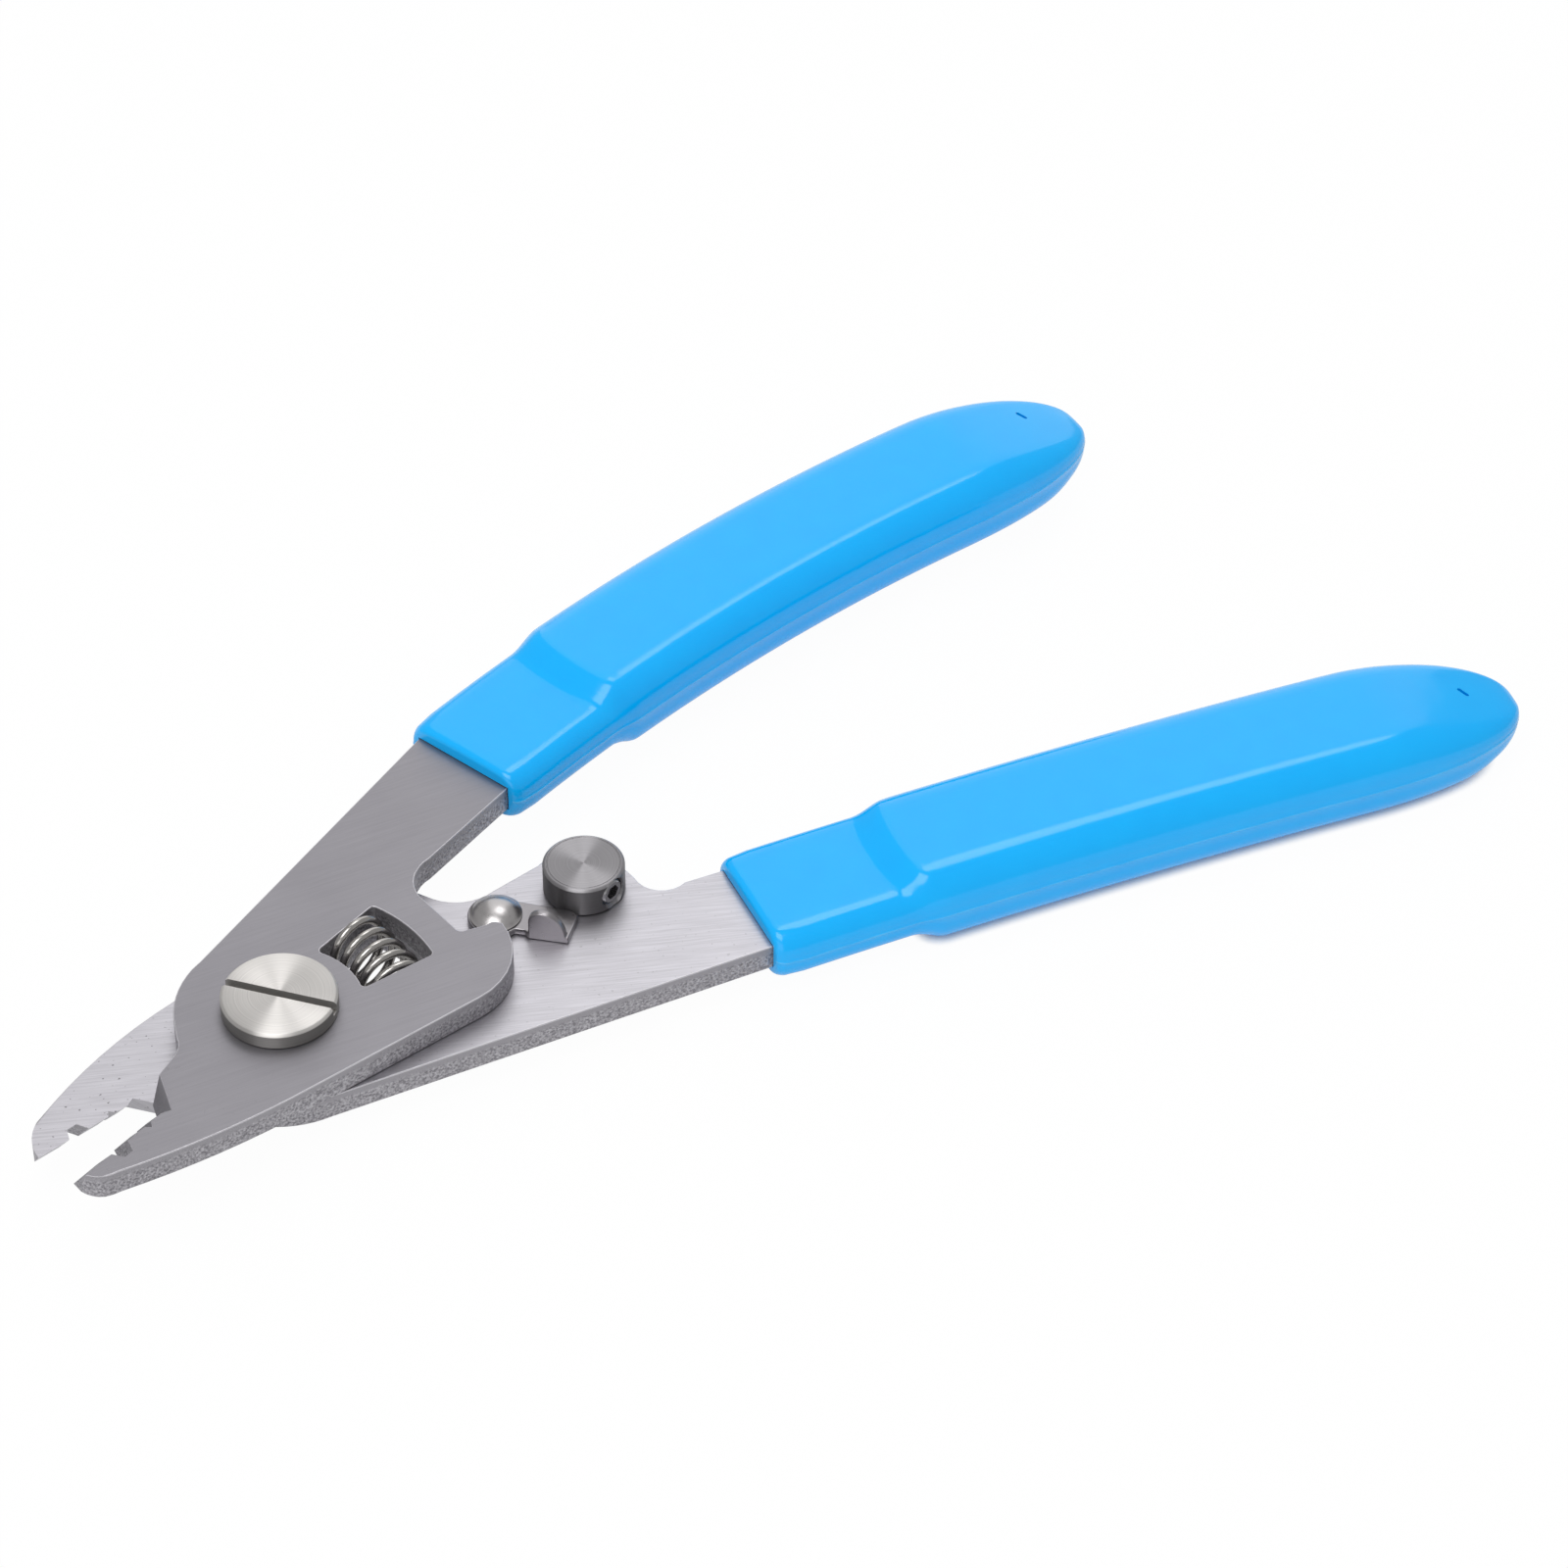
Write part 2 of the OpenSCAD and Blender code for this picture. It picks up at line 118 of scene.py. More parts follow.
def add_node(
    tree: bpy.types.NodeTree,
    kind: str,
    inputs: dict[str | int, Any] | None = None,
    **settings: Any,
) -> bpy.types.Node:
    """Adds a node to a tree.

    Args:
        tree: The node tree.
        kind: The node's type name.
        inputs: A value, or an output socket to link, for each input by name or number.
        **settings: The node's own settings.

    Returns:
        The new node.
    """
    node = tree.nodes.new(kind)
    for name, value in settings.items():
        setattr(node, name, value)
    for key, value in (inputs or {}).items():
        if isinstance(value, bpy.types.NodeSocket):
            tree.links.new(value, node.inputs[key])
        else:
            node.inputs[key].default_value = value
    return node


def new_material(name: str) -> tuple[bpy.types.Material, Callable[..., bpy.types.Node]]:
    """Makes an empty node material.

    Args:
        name: The material's name.

    Returns:
        The material, and add_node for its tree.
    """
    material = bpy.data.materials.new(name)
    material.use_nodes = True
    material.node_tree.nodes.clear()
    return material, partial(add_node, material.node_tree)


def polar(
    radius: float, degrees: float, centre: Sequence[float] = (0.0, 0.0)
) -> tuple[float, float]:
    """The point at a radius and an angle from a centre.

    Args:
        radius: Distance from the centre.
        degrees: Angle from +X.
        centre: The centre.

    Returns:
        The point's x and y.
    """
    angle = math.radians(degrees)
    return centre[0] + radius * math.cos(angle), centre[1] + radius * math.sin(angle)


def ease(share: float) -> float:
    """A smooth step from 0 to 1 while the share goes from 0 to 1."""
    held = min(1.0, max(0.0, share))
    return held * held * (3 - 2 * held)


def mesh_object(
    name: str, points: Sequence[Sequence[float]], faces: Sequence[Sequence[int]]
) -> bpy.types.Object:
    """Makes a mesh object from points in millimetres.

    Args:
        name: The object's name.
        points: The vertices, in millimetres.
        faces: The vertex numbers of each face.

    Returns:
        The object, at the origin.
    """
    mesh = bpy.data.meshes.new(name)
    mesh.from_pydata([[c * MM for c in p] for p in points], [], faces)
    mesh.update()
    made = bpy.data.objects.new(name, mesh)
    bpy.context.scene.collection.objects.link(made)
    return made


def baked(piece: bpy.types.Object) -> bpy.types.Object:
    """Turns a piece's modifiers into its plain mesh.

    Args:
        piece: The object with its modifiers.

    Returns:
        The same object, without modifiers.
    """
    bpy.context.view_layer.update()
    graph = bpy.context.evaluated_depsgraph_get()
    result = bpy.data.meshes.new_from_object(
        piece.evaluated_get(graph), preserve_all_data_layers=True, depsgraph=graph
    )
    piece.modifiers.clear()
    old, piece.data = piece.data, result
    if old.users == 0 and isinstance(old, bpy.types.Mesh):
        bpy.data.meshes.remove(old)
    piece.data.name = piece.name
    return piece


def soften(
    piece: bpy.types.Object,
    width: float,
    sharp: float = 28,
    steps: int = 2,
    crisp: Callable[[bmesh.types.BMEdge], bool] | None = None,
) -> bpy.types.Object:
    """Breaks the sharp edges of a piece with a small bevel and smooths its shading.

    Args:
        piece: The object.
        width: Width of the bevel, in millimetres.
        sharp: Smallest angle between two faces that counts as an edge, in degrees.
        steps: Number of segments of the bevel.
        crisp: Says which edges stay sharp, such as a cutting edge.

    Returns:
        The same object, with a plain mesh.
    """
    shape = bmesh.new()
    shape.from_mesh(piece.data)
    weights = shape.edges.layers.float.new("bevel_weight_edge")
    for edge in shape.edges:
        turned = len(edge.link_faces) == 2 and edge.calc_face_angle() > math.radians(sharp)
        edge[weights] = 1.0 if turned and not (crisp and crisp(edge)) else 0.0
    shape.to_mesh(piece.data)
    shape.free()
    bevel = piece.modifiers.new("edge_break", "BEVEL")
    bevel.width = width * MM
    bevel.segments = steps
    bevel.limit_method = "WEIGHT"
    bevel.use_clamp_overlap = False
    bevel.miter_outer = "MITER_ARC"
    baked(piece)
    piece.data.shade_smooth()
    piece.data.set_sharp_from_angle(angle=math.radians(SMOOTH_BELOW))
    weighted = piece.modifiers.new("flat_faces", "WEIGHTED_NORMAL")
    weighted.keep_sharp = True
    weighted.weight = 100
    return baked(piece)


def carve(piece: bpy.types.Object, tool: bpy.types.Object) -> bpy.types.Object:
    """Cuts a tool's shape out of a piece and removes the tool.

    Args:
        piece: The object to cut.
        tool: The closed object that is taken away.

    Returns:
        The same object, with a plain mesh.
    """
    cut = piece.modifiers.new("cut", "BOOLEAN")
    cut.operation = "DIFFERENCE"
    cut.solver = "EXACT"
    cut.object = tool
    baked(piece)
    bpy.data.objects.remove(tool)
    return piece


def prism(
    name: str, outline: Sequence[Sequence[float]], low: float, high: float
) -> bpy.types.Object:
    """Makes an upright prism.

    Args:
        name: The object's name.
        outline: Its corners in order, counter-clockwise, in millimetres.
        low: Level of its floor.
        high: Level of its top.

    Returns:
        The object.
    """
    n = len(outline)
    points = [(*p, low) for p in outline] + [(*p, high) for p in outline]
    faces = [list(range(n - 1, -1, -1)), list(range(n, 2 * n))]
    faces += [[i, (i + 1) % n, n + (i + 1) % n, n + i] for i in range(n)]
    return mesh_object(name, points, faces)


def lathe(
    name: str, profile: Sequence[Sequence[float]], centre: Sequence[float], segments: int = 96
) -> bpy.types.Object:
    """Turns a profile about an upright axis.

    Args:
        name: The object's name.
        profile: Points [radius, level] from the axis at the bottom round to the axis at the top.
        centre: The axis' x and y.
        segments: Number of faces round the axis.

    Returns:
        The object, with its two poles closed.
    """
    points: list[Sequence[float]] = [(*centre, profile[0][1])]
    rings = profile[1:-1]
    for radius, level in rings:
        points += [(*polar(radius, 360 * k / segments, centre), level) for k in range(segments)]
    points.append((*centre, profile[-1][1]))
    top = len(points) - 1
    faces = []
    for k in range(segments):
        after = (k + 1) % segments
        faces.append([0, 1 + after, 1 + k])
        for i in range(len(rings) - 1):
            a, b = 1 + i * segments, 1 + (i + 1) * segments
            faces.append([a + k, a + after, b + after, b + k])
        last = 1 + (len(rings) - 1) * segments
        faces.append([last + k, last + after, top])
    return mesh_object(name, points, faces)


def crease(piece: bpy.types.Object, degrees: float = 35) -> bpy.types.Object:
    """Shades a piece smooth and keeps its edges above an angle sharp.

    Args:
        piece: The object.
        degrees: The angle.

    Returns:
        The same object.
    """
    piece.data.shade_smooth()
    piece.data.set_sharp_from_angle(angle=math.radians(degrees))
    return piece


def dress(
    piece: bpy.types.Object,
    material: bpy.types.Material,
    body: Body | None,
    stands_for: str | None = None,
) -> bpy.types.Object:
    """Gives a finished piece its material and its body.

    Args:
        piece: The finished object.
        material: Its material.
        body: The body that it rides on, or None to leave it on no body.
        stands_for: The CAD node that it replaces.

    Returns:
        The same object.
    """
    piece.data.materials.clear()
    piece.data.materials.append(material)
    if body is not None:
        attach(piece, body.value)
    if stands_for is not None:
        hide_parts(stands_for)
    LOG.info("%s: %d faces, %s", piece.name, len(piece.data.polygons), material.name)
    return piece


def node_copy(node: str, name: str) -> bpy.types.Object:
    """Copies a CAD node into a clean mesh of its own, with merged corners and whole flat faces.

    Args:
        node: The CAD node.
        name: The copy's name.

    Returns:
        The copy, at the origin.
    """
    mesh = bpy.data.meshes.new(name)
    shape = bmesh.new()
    shape.from_mesh(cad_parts[node].data)
    bmesh.ops.remove_doubles(shape, verts=shape.verts, dist=MERGE_BELOW)
    bmesh.ops.dissolve_limit(
        shape, angle_limit=math.radians(FLAT_BELOW), verts=shape.verts, edges=shape.edges
    )
    shape.to_mesh(mesh)
    shape.free()
    made = bpy.data.objects.new(name, mesh)
    bpy.context.scene.collection.objects.link(made)
    return made


# ---- Finishes ----


@dataclass(frozen=True)
class PlateSteel:
    """Stamped stainless steel plate with ground or blasted faces.

    The faces show fine grinding lines, fainter where they are blasted, and a few pits. The
    stamped rim is smooth just under the upper face, where the punch sheared it, and torn and
    granular below.
    """

    name: str
    face_dark: str
    face_light: str
    top_level: float
    grain_direction: float
    grain_contrast: float
    roughness: float
    pits: float
    rim_dark: str = "#828085"
    rim_light: str = "#c4c2c7"
    burnished: str = "#a3a1a6"
    # Painted highlight: the burr along the top edge is real, but it is coloured lighter than the
    # rim to stand in for the light it catches
    burr_highlight: str = "#cbc9ce"
    burr_highlight_height: float = 0.14
    burr_highlight_slope: float = 0.94  # the burr's lighter colour, a painted highlight, starts where a surface's normal leans this far
    grain_length: float = 7.0
    grain_width: float = 0.22  # real lines are near 0.03 mm: drawn this coarse so that they show
    grain_depth: float = 0.006
    cloud_size: float = 9.0
    cloud_share: float = 0.35
    roughness_spread: float = 0.06
    tear_size: float = 0.27
    tear_depth: float = 0.16
    tear_strength: float = 0.9
    tear_ramp: tuple[float, float] = (0.36, 0.66)
    rim_slope: tuple[float, float] = (0.3, 0.4)
    rim_roughness: float = 0.55
    burnished_depth: float = 0.8
    burnished_wander: float = 0.9
    burnished_fade: tuple[float, float] = (0.3, 0.65)
    pit: str = "#5d5a5c"
    pit_spacing: float = 0.45
    pit_ramp: tuple[float, float] = (0.7, 0.74)
    pits_behind: float = 0.3  # share of the jaw's pits that the rest of the lever has
    jaw_end: float = -4.0
    jaw_fade: float = 12.0

    def make(self) -> bpy.types.Material:
        """Builds the material.

        Returns:
            The material.
        """
        material, add = new_material(self.name)
        place = add("ShaderNodeTexCoord").outputs["Object"]
        turned = add("ShaderNodeMapping", {
            "Vector": place, "Rotation": (0, 0, -math.radians(self.grain_direction)),
        }).outputs["Vector"]
        long, fine = 1 / (self.grain_length * MM), 1 / (self.grain_width * MM)
        stretched = add("ShaderNodeMapping", {
            "Vector": turned, "Scale": (long, fine, long),
        }).outputs["Vector"]
        grain = add("ShaderNodeTexNoise", {
            "Vector": stretched, "Scale": 1.0, "Detail": 3.0, "Roughness": 0.65,
        }).outputs["Fac"]
        cloud = add("ShaderNodeTexNoise", {
            "Vector": place, "Scale": 1 / (self.cloud_size * MM), "Detail": 2.0,
        }).outputs["Fac"]
        tone = add("ShaderNodeMapRange", {
            "Value": grain, "From Min": 0.5 - 0.5 / self.grain_contrast,
            "From Max": 0.5 + 0.5 / self.grain_contrast,
        }).outputs["Result"]
        tone = add("ShaderNodeMix", {
            "Factor": self.cloud_share, "A": tone, "B": cloud,
        }, data_type="FLOAT").outputs["Result"]
        face = add("ShaderNodeMix", {
            "Factor": tone, 6: linear(self.face_dark), 7: linear(self.face_light),
        }, data_type="RGBA").outputs[2]
        speck = add("ShaderNodeTexNoise", {
            "Vector": place, "Scale": 1 / (self.pit_spacing * MM), "Detail": 1.0,
        }).outputs["Fac"]
        along = add("ShaderNodeSeparateXYZ", {"Vector": place}).outputs["X"]
        used = add("ShaderNodeMapRange", {
            "Value": along, "From Min": (self.jaw_end - self.jaw_fade) * MM,
            "From Max": self.jaw_end * MM, "To Min": self.pits,
            "To Max": self.pits_behind * self.pits,
        }).outputs["Result"]
        pitted = add("ShaderNodeMapRange", {
            "Value": speck, "From Min": self.pit_ramp[0], "From Max": self.pit_ramp[1],
            "To Max": used,
        }).outputs["Result"]
        face = add("ShaderNodeMix", {
            "Factor": pitted, 6: face, 7: linear(self.pit),
        }, data_type="RGBA").outputs[2]

        tear = add("ShaderNodeTexNoise", {
            "Vector": place, "Scale": 1 / (self.tear_size * MM), "Detail": 3.0, "Roughness": 0.6,
        }).outputs["Fac"]
        torn = add("ShaderNodeMapRange", {
            "Value": tear, "From Min": self.tear_ramp[0], "From Max": self.tear_ramp[1],
        }).outputs["Result"]
        rim = add("ShaderNodeMix", {
            "Factor": torn, 6: linear(self.rim_dark), 7: linear(self.rim_light),
        }, data_type="RGBA").outputs[2]
        level = add("ShaderNodeSeparateXYZ", {"Vector": place}).outputs["Z"]
        wander = add("ShaderNodeMath", {
            0: cloud, 1: self.burnished_wander * MM, 2: level,
        }, operation="MULTIPLY_ADD").outputs["Value"]
        line = self.top_level - self.burnished_depth
        punched = add("ShaderNodeMapRange", {
            "Value": wander, "From Min": (line + self.burnished_fade[0]) * MM,
            "From Max": (line + self.burnished_fade[1]) * MM,
        }).outputs["Result"]
        rim = add("ShaderNodeMix", {
            "Factor": punched, 6: rim, 7: linear(self.burnished),
        }, data_type="RGBA").outputs[2]

        normal = add("ShaderNodeNewGeometry").outputs["True Normal"]
        upright = add("ShaderNodeSeparateXYZ", {"Vector": normal}).outputs["Z"]
        steep = add("ShaderNodeMath", {0: upright}, operation="ABSOLUTE").outputs["Value"]
        side = add("ShaderNodeMapRange", {
            "Value": steep, "From Min": self.rim_slope[0], "From Max": self.rim_slope[1],
            "To Min": 1.0, "To Max": 0.0,
        }).outputs["Result"]
        colour = add("ShaderNodeMix", {
            "Factor": side, 6: face, 7: rim,
        }, data_type="RGBA").outputs[2]
        # Painted highlight: sloping faces near the top level get the lighter burr colour
        sloping = add("ShaderNodeMath", {
            0: steep, 1: self.burr_highlight_slope,
        }, operation="LESS_THAN").outputs["Value"]
        high = add("ShaderNodeMath", {
            0: level, 1: (self.top_level - self.burr_highlight_height) * MM,
        }, operation="GREATER_THAN").outputs["Value"]
        painted_edge_highlight = add("ShaderNodeMath", {
            0: sloping, 1: high,
        }, operation="MULTIPLY").outputs["Value"]
        colour = add("ShaderNodeMix", {
            "Factor": painted_edge_highlight, 6: colour, 7: linear(self.burr_highlight),
        }, data_type="RGBA").outputs[2]
        dull = add("ShaderNodeMapRange", {
            "Value": tone, "To Min": self.roughness + self.roughness_spread,
            "To Max": self.roughness - self.roughness_spread,
        }).outputs["Result"]
        roughness = add("ShaderNodeMix", {
            "Factor": side, "A": dull, "B": self.rim_roughness,
        }, data_type="FLOAT").outputs["Result"]
        scratched = add("ShaderNodeBump", {
            "Height": grain, "Strength": 0.5, "Distance": self.grain_depth * MM,
        }).outputs["Normal"]
        rugged = add("ShaderNodeMath", {
            0: side, 1: self.tear_strength,
        }, operation="MULTIPLY").outputs["Value"]
        bumped = add("ShaderNodeBump", {
            "Height": tear, "Strength": rugged, "Distance": self.tear_depth * MM,
            "Normal": scratched,
        }).outputs["Normal"]
        shader = add("ShaderNodeBsdfPrincipled", {
            "Base Color": colour, "Metallic": 1.0, "Roughness": roughness, "Normal": bumped,
        })
        add("ShaderNodeOutputMaterial", {"Surface": shader.outputs["BSDF"]})
        return material


@dataclass(frozen=True)
class TurnedSteel:
    """Lathe-turned stainless steel.

    Fine tool marks run round the axis, so a lamp shows as a bright fan across the end face.
    """

    name: str
    colour: str
    centre: tuple[float, float]
    roughness: float = 0.42
    anisotropy: float = 0.92
    mark_pitch: float = 0.16  # real marks are near 0.05 mm: drawn this coarse so that they show
    mark_depth: float = 0.01
    mark_shade: tuple[float, float] = (0.9, 1.05)
    side_painted_shade: float = 0.42  # painted shade: the upright sides' colour is darkened to this share of the end face's
    side_shade_slope: tuple[float, float] = (0.2, 0.9)

    def make(self) -> bpy.types.Material:
        """Builds the material.

        Returns:
            The material.
        """
        material, add = new_material(self.name)
        place = add("ShaderNodeTexCoord").outputs["Object"]
        out = add("ShaderNodeVectorMath", {
            0: place, 1: (self.centre[0] * MM, self.centre[1] * MM, 0),
        }, operation="SUBTRACT").outputs["Vector"]
        around = add("ShaderNodeVectorMath", {
            0: (0, 0, 1), 1: out,
        }, operation="CROSS_PRODUCT").outputs["Vector"]
        radius = add("ShaderNodeVectorMath", {0: around}, operation="LENGTH").outputs["Value"]
        level = add("ShaderNodeSeparateXYZ", {"Vector": place}).outputs["Z"]
        across = add("ShaderNodeMath", {0: radius, 1: level}, operation="ADD").outputs["Value"]
        turn = add("ShaderNodeTexNoise", {
            "W": across, "Scale": 1 / (self.mark_pitch * MM), "Detail": 2.0,
        }, noise_dimensions="1D").outputs["Fac"]
        light = add("ShaderNodeMapRange", {
            "Value": turn, "From Min": 0.25, "From Max": 0.75, "To Min": self.mark_shade[0],
            "To Max": self.mark_shade[1],
        }).outputs["Result"]
        # Painted shade: the colour darkens on the upright sides, by the way each surface faces
        normal = add("ShaderNodeNewGeometry").outputs["True Normal"]
        upright = add("ShaderNodeSeparateXYZ", {"Vector": normal}).outputs["Z"]
        face = add("ShaderNodeMapRange", {
            "Value": upright, "From Min": self.side_shade_slope[0], "From Max": self.side_shade_slope[1],
            "To Min": self.side_painted_shade,
        }).outputs["Result"]
        light = add("ShaderNodeMath", {0: light, 1: face}, operation="MULTIPLY").outputs["Value"]
        colour = add("ShaderNodeVectorMath", {
            0: linear(self.colour)[:3], "Scale": light,
        }, operation="SCALE").outputs["Vector"]
        marked = add("ShaderNodeBump", {
            "Height": turn, "Strength": 0.35, "Distance": self.mark_depth * MM,
        }).outputs["Normal"]
        tangent = add("ShaderNodeVectorMath", {
            0: around, 1: normal,
        }, operation="CROSS_PRODUCT").outputs["Vector"]
        tangent = add("ShaderNodeVectorMath", {0: tangent}, operation="NORMALIZE").outputs["Vector"]
        shader = add("ShaderNodeBsdfPrincipled", {
            "Base Color": colour, "Metallic": 1.0, "Roughness": self.roughness,
            "Anisotropic": self.anisotropy, "Normal": marked, "Tangent": tangent,
        })
        add("ShaderNodeOutputMaterial", {"Surface": shader.outputs["BSDF"]})
        return material


@dataclass(frozen=True)
class PolishedMetal:
    """Barrel-polished plated steel: a mirror with a soft waviness and faint handling haze."""

    name: str
    colour: str
    roughness: float
    wave_size: float = 1.6
    wave_height: float = 0.006
    haze_size: float = 0.5
    haze_spread: float = 0.1
    haze_shade: tuple[float, float] = (0.97, 1.02)

    def make(self) -> bpy.types.Material:
        """Builds the material.

        Returns:
            The material.
        """
        material, add = new_material(self.name)
        place = add("ShaderNodeTexCoord").outputs["Object"]
        wave = add("ShaderNodeTexNoise", {
            "Vector": place, "Scale": 1 / (self.wave_size * MM), "Detail": 1.0,
        }).outputs["Fac"]
        haze = add("ShaderNodeTexNoise", {
            "Vector": place, "Scale": 1 / (self.haze_size * MM), "Detail": 3.0,
        }).outputs["Fac"]
        roughness = add("ShaderNodeMapRange", {
            "Value": haze, "From Min": NOISE_SPAN[0], "From Max": NOISE_SPAN[1],
            "To Min": self.roughness * (1 - self.haze_spread),
            "To Max": self.roughness * (1 + self.haze_spread),
        }).outputs["Result"]
        light = add("ShaderNodeMapRange", {
            "Value": haze, "From Min": NOISE_SPAN[0], "From Max": NOISE_SPAN[1],
            "To Min": self.haze_shade[0], "To Max": self.haze_shade[1],
        }).outputs["Result"]
        colour = add("ShaderNodeVectorMath", {
            0: linear(self.colour)[:3], "Scale": light,
        }, operation="SCALE").outputs["Vector"]
        wavy = add("ShaderNodeBump", {
            "Height": wave, "Strength": 0.5, "Distance": self.wave_height * MM,
        }).outputs["Normal"]
        shader = add("ShaderNodeBsdfPrincipled", {
            "Base Color": colour, "Metallic": 1.0, "Roughness": roughness, "Normal": wavy,
        })
        add("ShaderNodeOutputMaterial", {"Surface": shader.outputs["BSDF"]})
        return material


@dataclass(frozen=True)
class MouldedVinyl:
    """Plasticised PVC, moulded over the tang: a soft gloss on slightly wavy sky-blue plastic.

    The mould's parting line is a hair lighter than the rest.
    """

    name: str
    colour: str = "#00b5ff"
    deep: str = "#00affc"
    line: str = "#6accff"
    gloss: float = 0.45
    ripple_size: float = 3.2
    ripple_height: float = 0.03
    peel_size: float = 0.45
    peel_height: float = 0.006
    roughness_range: tuple[float, float] = (0.1, 0.18)

    def make(self) -> bpy.types.Material:
        """Builds the material.

        Returns:
            The material.
        """
        material, add = new_material(self.name)
        place = add("ShaderNodeTexCoord").outputs["Object"]
        ripple = add("ShaderNodeTexNoise", {
            "Vector": place, "Scale": 1 / (self.ripple_size * MM), "Detail": 1.0,
        }).outputs["Fac"]
        peel = add("ShaderNodeTexNoise", {
            "Vector": place, "Scale": 1 / (self.peel_size * MM), "Detail": 2.0,
        }).outputs["Fac"]
        body = add("ShaderNodeMix", {
            "Factor": ripple, 6: linear(self.deep), 7: linear(self.colour),
        }, data_type="RGBA").outputs[2]
        seam = add("ShaderNodeAttribute", attribute_name="seam").outputs["Fac"]
        broken = add("ShaderNodeMath", {0: seam, 1: ripple}, operation="MULTIPLY").outputs["Value"]
        colour = add("ShaderNodeMix", {
            "Factor": broken, 6: body, 7: linear(self.line),
        }, data_type="RGBA").outputs[2]
        roughness = add("ShaderNodeMapRange", {
            "Value": peel, "From Min": NOISE_SPAN[0], "From Max": NOISE_SPAN[1],
            "To Min": self.roughness_range[0], "To Max": self.roughness_range[1],
        }).outputs["Result"]
        wavy = add("ShaderNodeBump", {
            "Height": ripple, "Strength": 0.4, "Distance": self.ripple_height * MM,
        }).outputs["Normal"]
        peeled = add("ShaderNodeBump", {
            "Height": peel, "Strength": 0.3, "Distance": self.peel_height * MM, "Normal": wavy,
        }).outputs["Normal"]
        shader = add("ShaderNodeBsdfPrincipled", {
            "Base Color": colour, "Roughness": roughness, "Specular IOR Level": self.gloss,
            "Normal": peeled,
        })
        add("ShaderNodeOutputMaterial", {"Surface": shader.outputs["BSDF"]})
        return material


@dataclass(frozen=True)
class StudioPaper:
    """White seamless paper under the tool: seen as pure white, with the tool's own shadow."""

    name: str = "studio_paper"
    tone: str = "#f4f4f4"
    contact: float = 1.4
    contact_ramp: tuple[float, float] = (0.25, 0.7)
    shown: float = 0.97
    mirrored: float = 0.45

    def make(self) -> bpy.types.Material:
        """Builds the material.

        Returns:
            The material.
        """
        material, add = new_material(self.name)
        plain = add("ShaderNodeBsdfDiffuse", {"Color": linear(self.tone)}).outputs["BSDF"]
        white = add("ShaderNodeEmission", {
            "Color": (1, 1, 1, 1), "Strength": 1.0,
        }).outputs["Emission"]
        path = add("ShaderNodeLightPath").outputs
        glossy = add("ShaderNodeMath", {
            0: path["Is Glossy Ray"], 1: self.mirrored,
        }, operation="MULTIPLY").outputs["Value"]
        seen = add("ShaderNodeMath", {
            0: path["Is Camera Ray"], 1: glossy,
        }, operation="MAXIMUM").outputs["Value"]
        seen = add("ShaderNodeMath", {
            0: seen, 1: path["Is Transmission Ray"],
        }, operation="MAXIMUM").outputs["Value"]
        opening = add("ShaderNodeAmbientOcclusion", {
            "Distance": self.contact * MM,
        }, samples=8).outputs["AO"]
        clear = add("ShaderNodeMapRange", {
            "Value": opening, "From Min": self.contact_ramp[0], "From Max": self.contact_ramp[1],
            "To Max": self.shown,
        }).outputs["Result"]
        share = add("ShaderNodeMath", {0: seen, 1: clear}, operation="MULTIPLY").outputs["Value"]
        mixed = add("ShaderNodeMixShader", {0: share, 1: plain, 2: white}).outputs["Shader"]
        add("ShaderNodeOutputMaterial", {"Surface": mixed})
        return material


# ---- Levers ----


@dataclass
class Levers:
    """The two stamped levers that cross at the pivot, with their jaws and tangs."""

    edge_break: float = 0.11
    lower_top: float = 6.3
    upper_top: float = 9.35
    lower_grain: float = -30.0
    upper_grain: float = -12.0
    tip_zone: float = 26.5
    flat_normal: float = 0.97
    upright_normal: float = 0.05

    def crisp(self, edge: bmesh.types.BMEdge) -> bool:
        """Says if a lever's edge is ground sharp: it bounds a bevelled face or lies at a jaw tip.

        Args:
            edge: The edge.

        Returns:
            True for a cutting edge or a tip.
        """
        ground = any(
            self.upright_normal < abs(face.normal.z) < self.flat_normal for face in edge.link_faces
        )
        return ground or any(vertex.co.x < -self.tip_zone * MM for vertex in edge.verts)

    def build(self) -> list[bpy.types.Object]:
        """Makes both levers with broken edges.

        Returns:
            The two pieces.
        """
        bright = PlateSteel(
            "ground_stainless_plate", "#acaaaf", "#cdcbd1", self.lower_top, self.lower_grain,
            grain_contrast=2.2, roughness=0.38, pits=0.75,
        ).make()
        matt = PlateSteel(
            "blasted_stainless_plate", "#8a888d", "#9d9ba0", self.upper_top, self.upper_grain,
            grain_contrast=0.9, roughness=0.5, pits=0.12,
        ).make()
        plates = (
            ("lower_lever", bright, Slot.LOWER_STEEL, Body.FIXED),
            ("upper_lever", matt, Slot.UPPER_STEEL, Body.MOVING),
        )
        pieces = []
        for node, steel, slot, body in plates:
            shape = soften(node_copy(node, node + "_plate"), self.edge_break, crisp=self.crisp)
            pieces.append(dress(shape, steel, body, node))
        return pieces


# ---- Grips ----


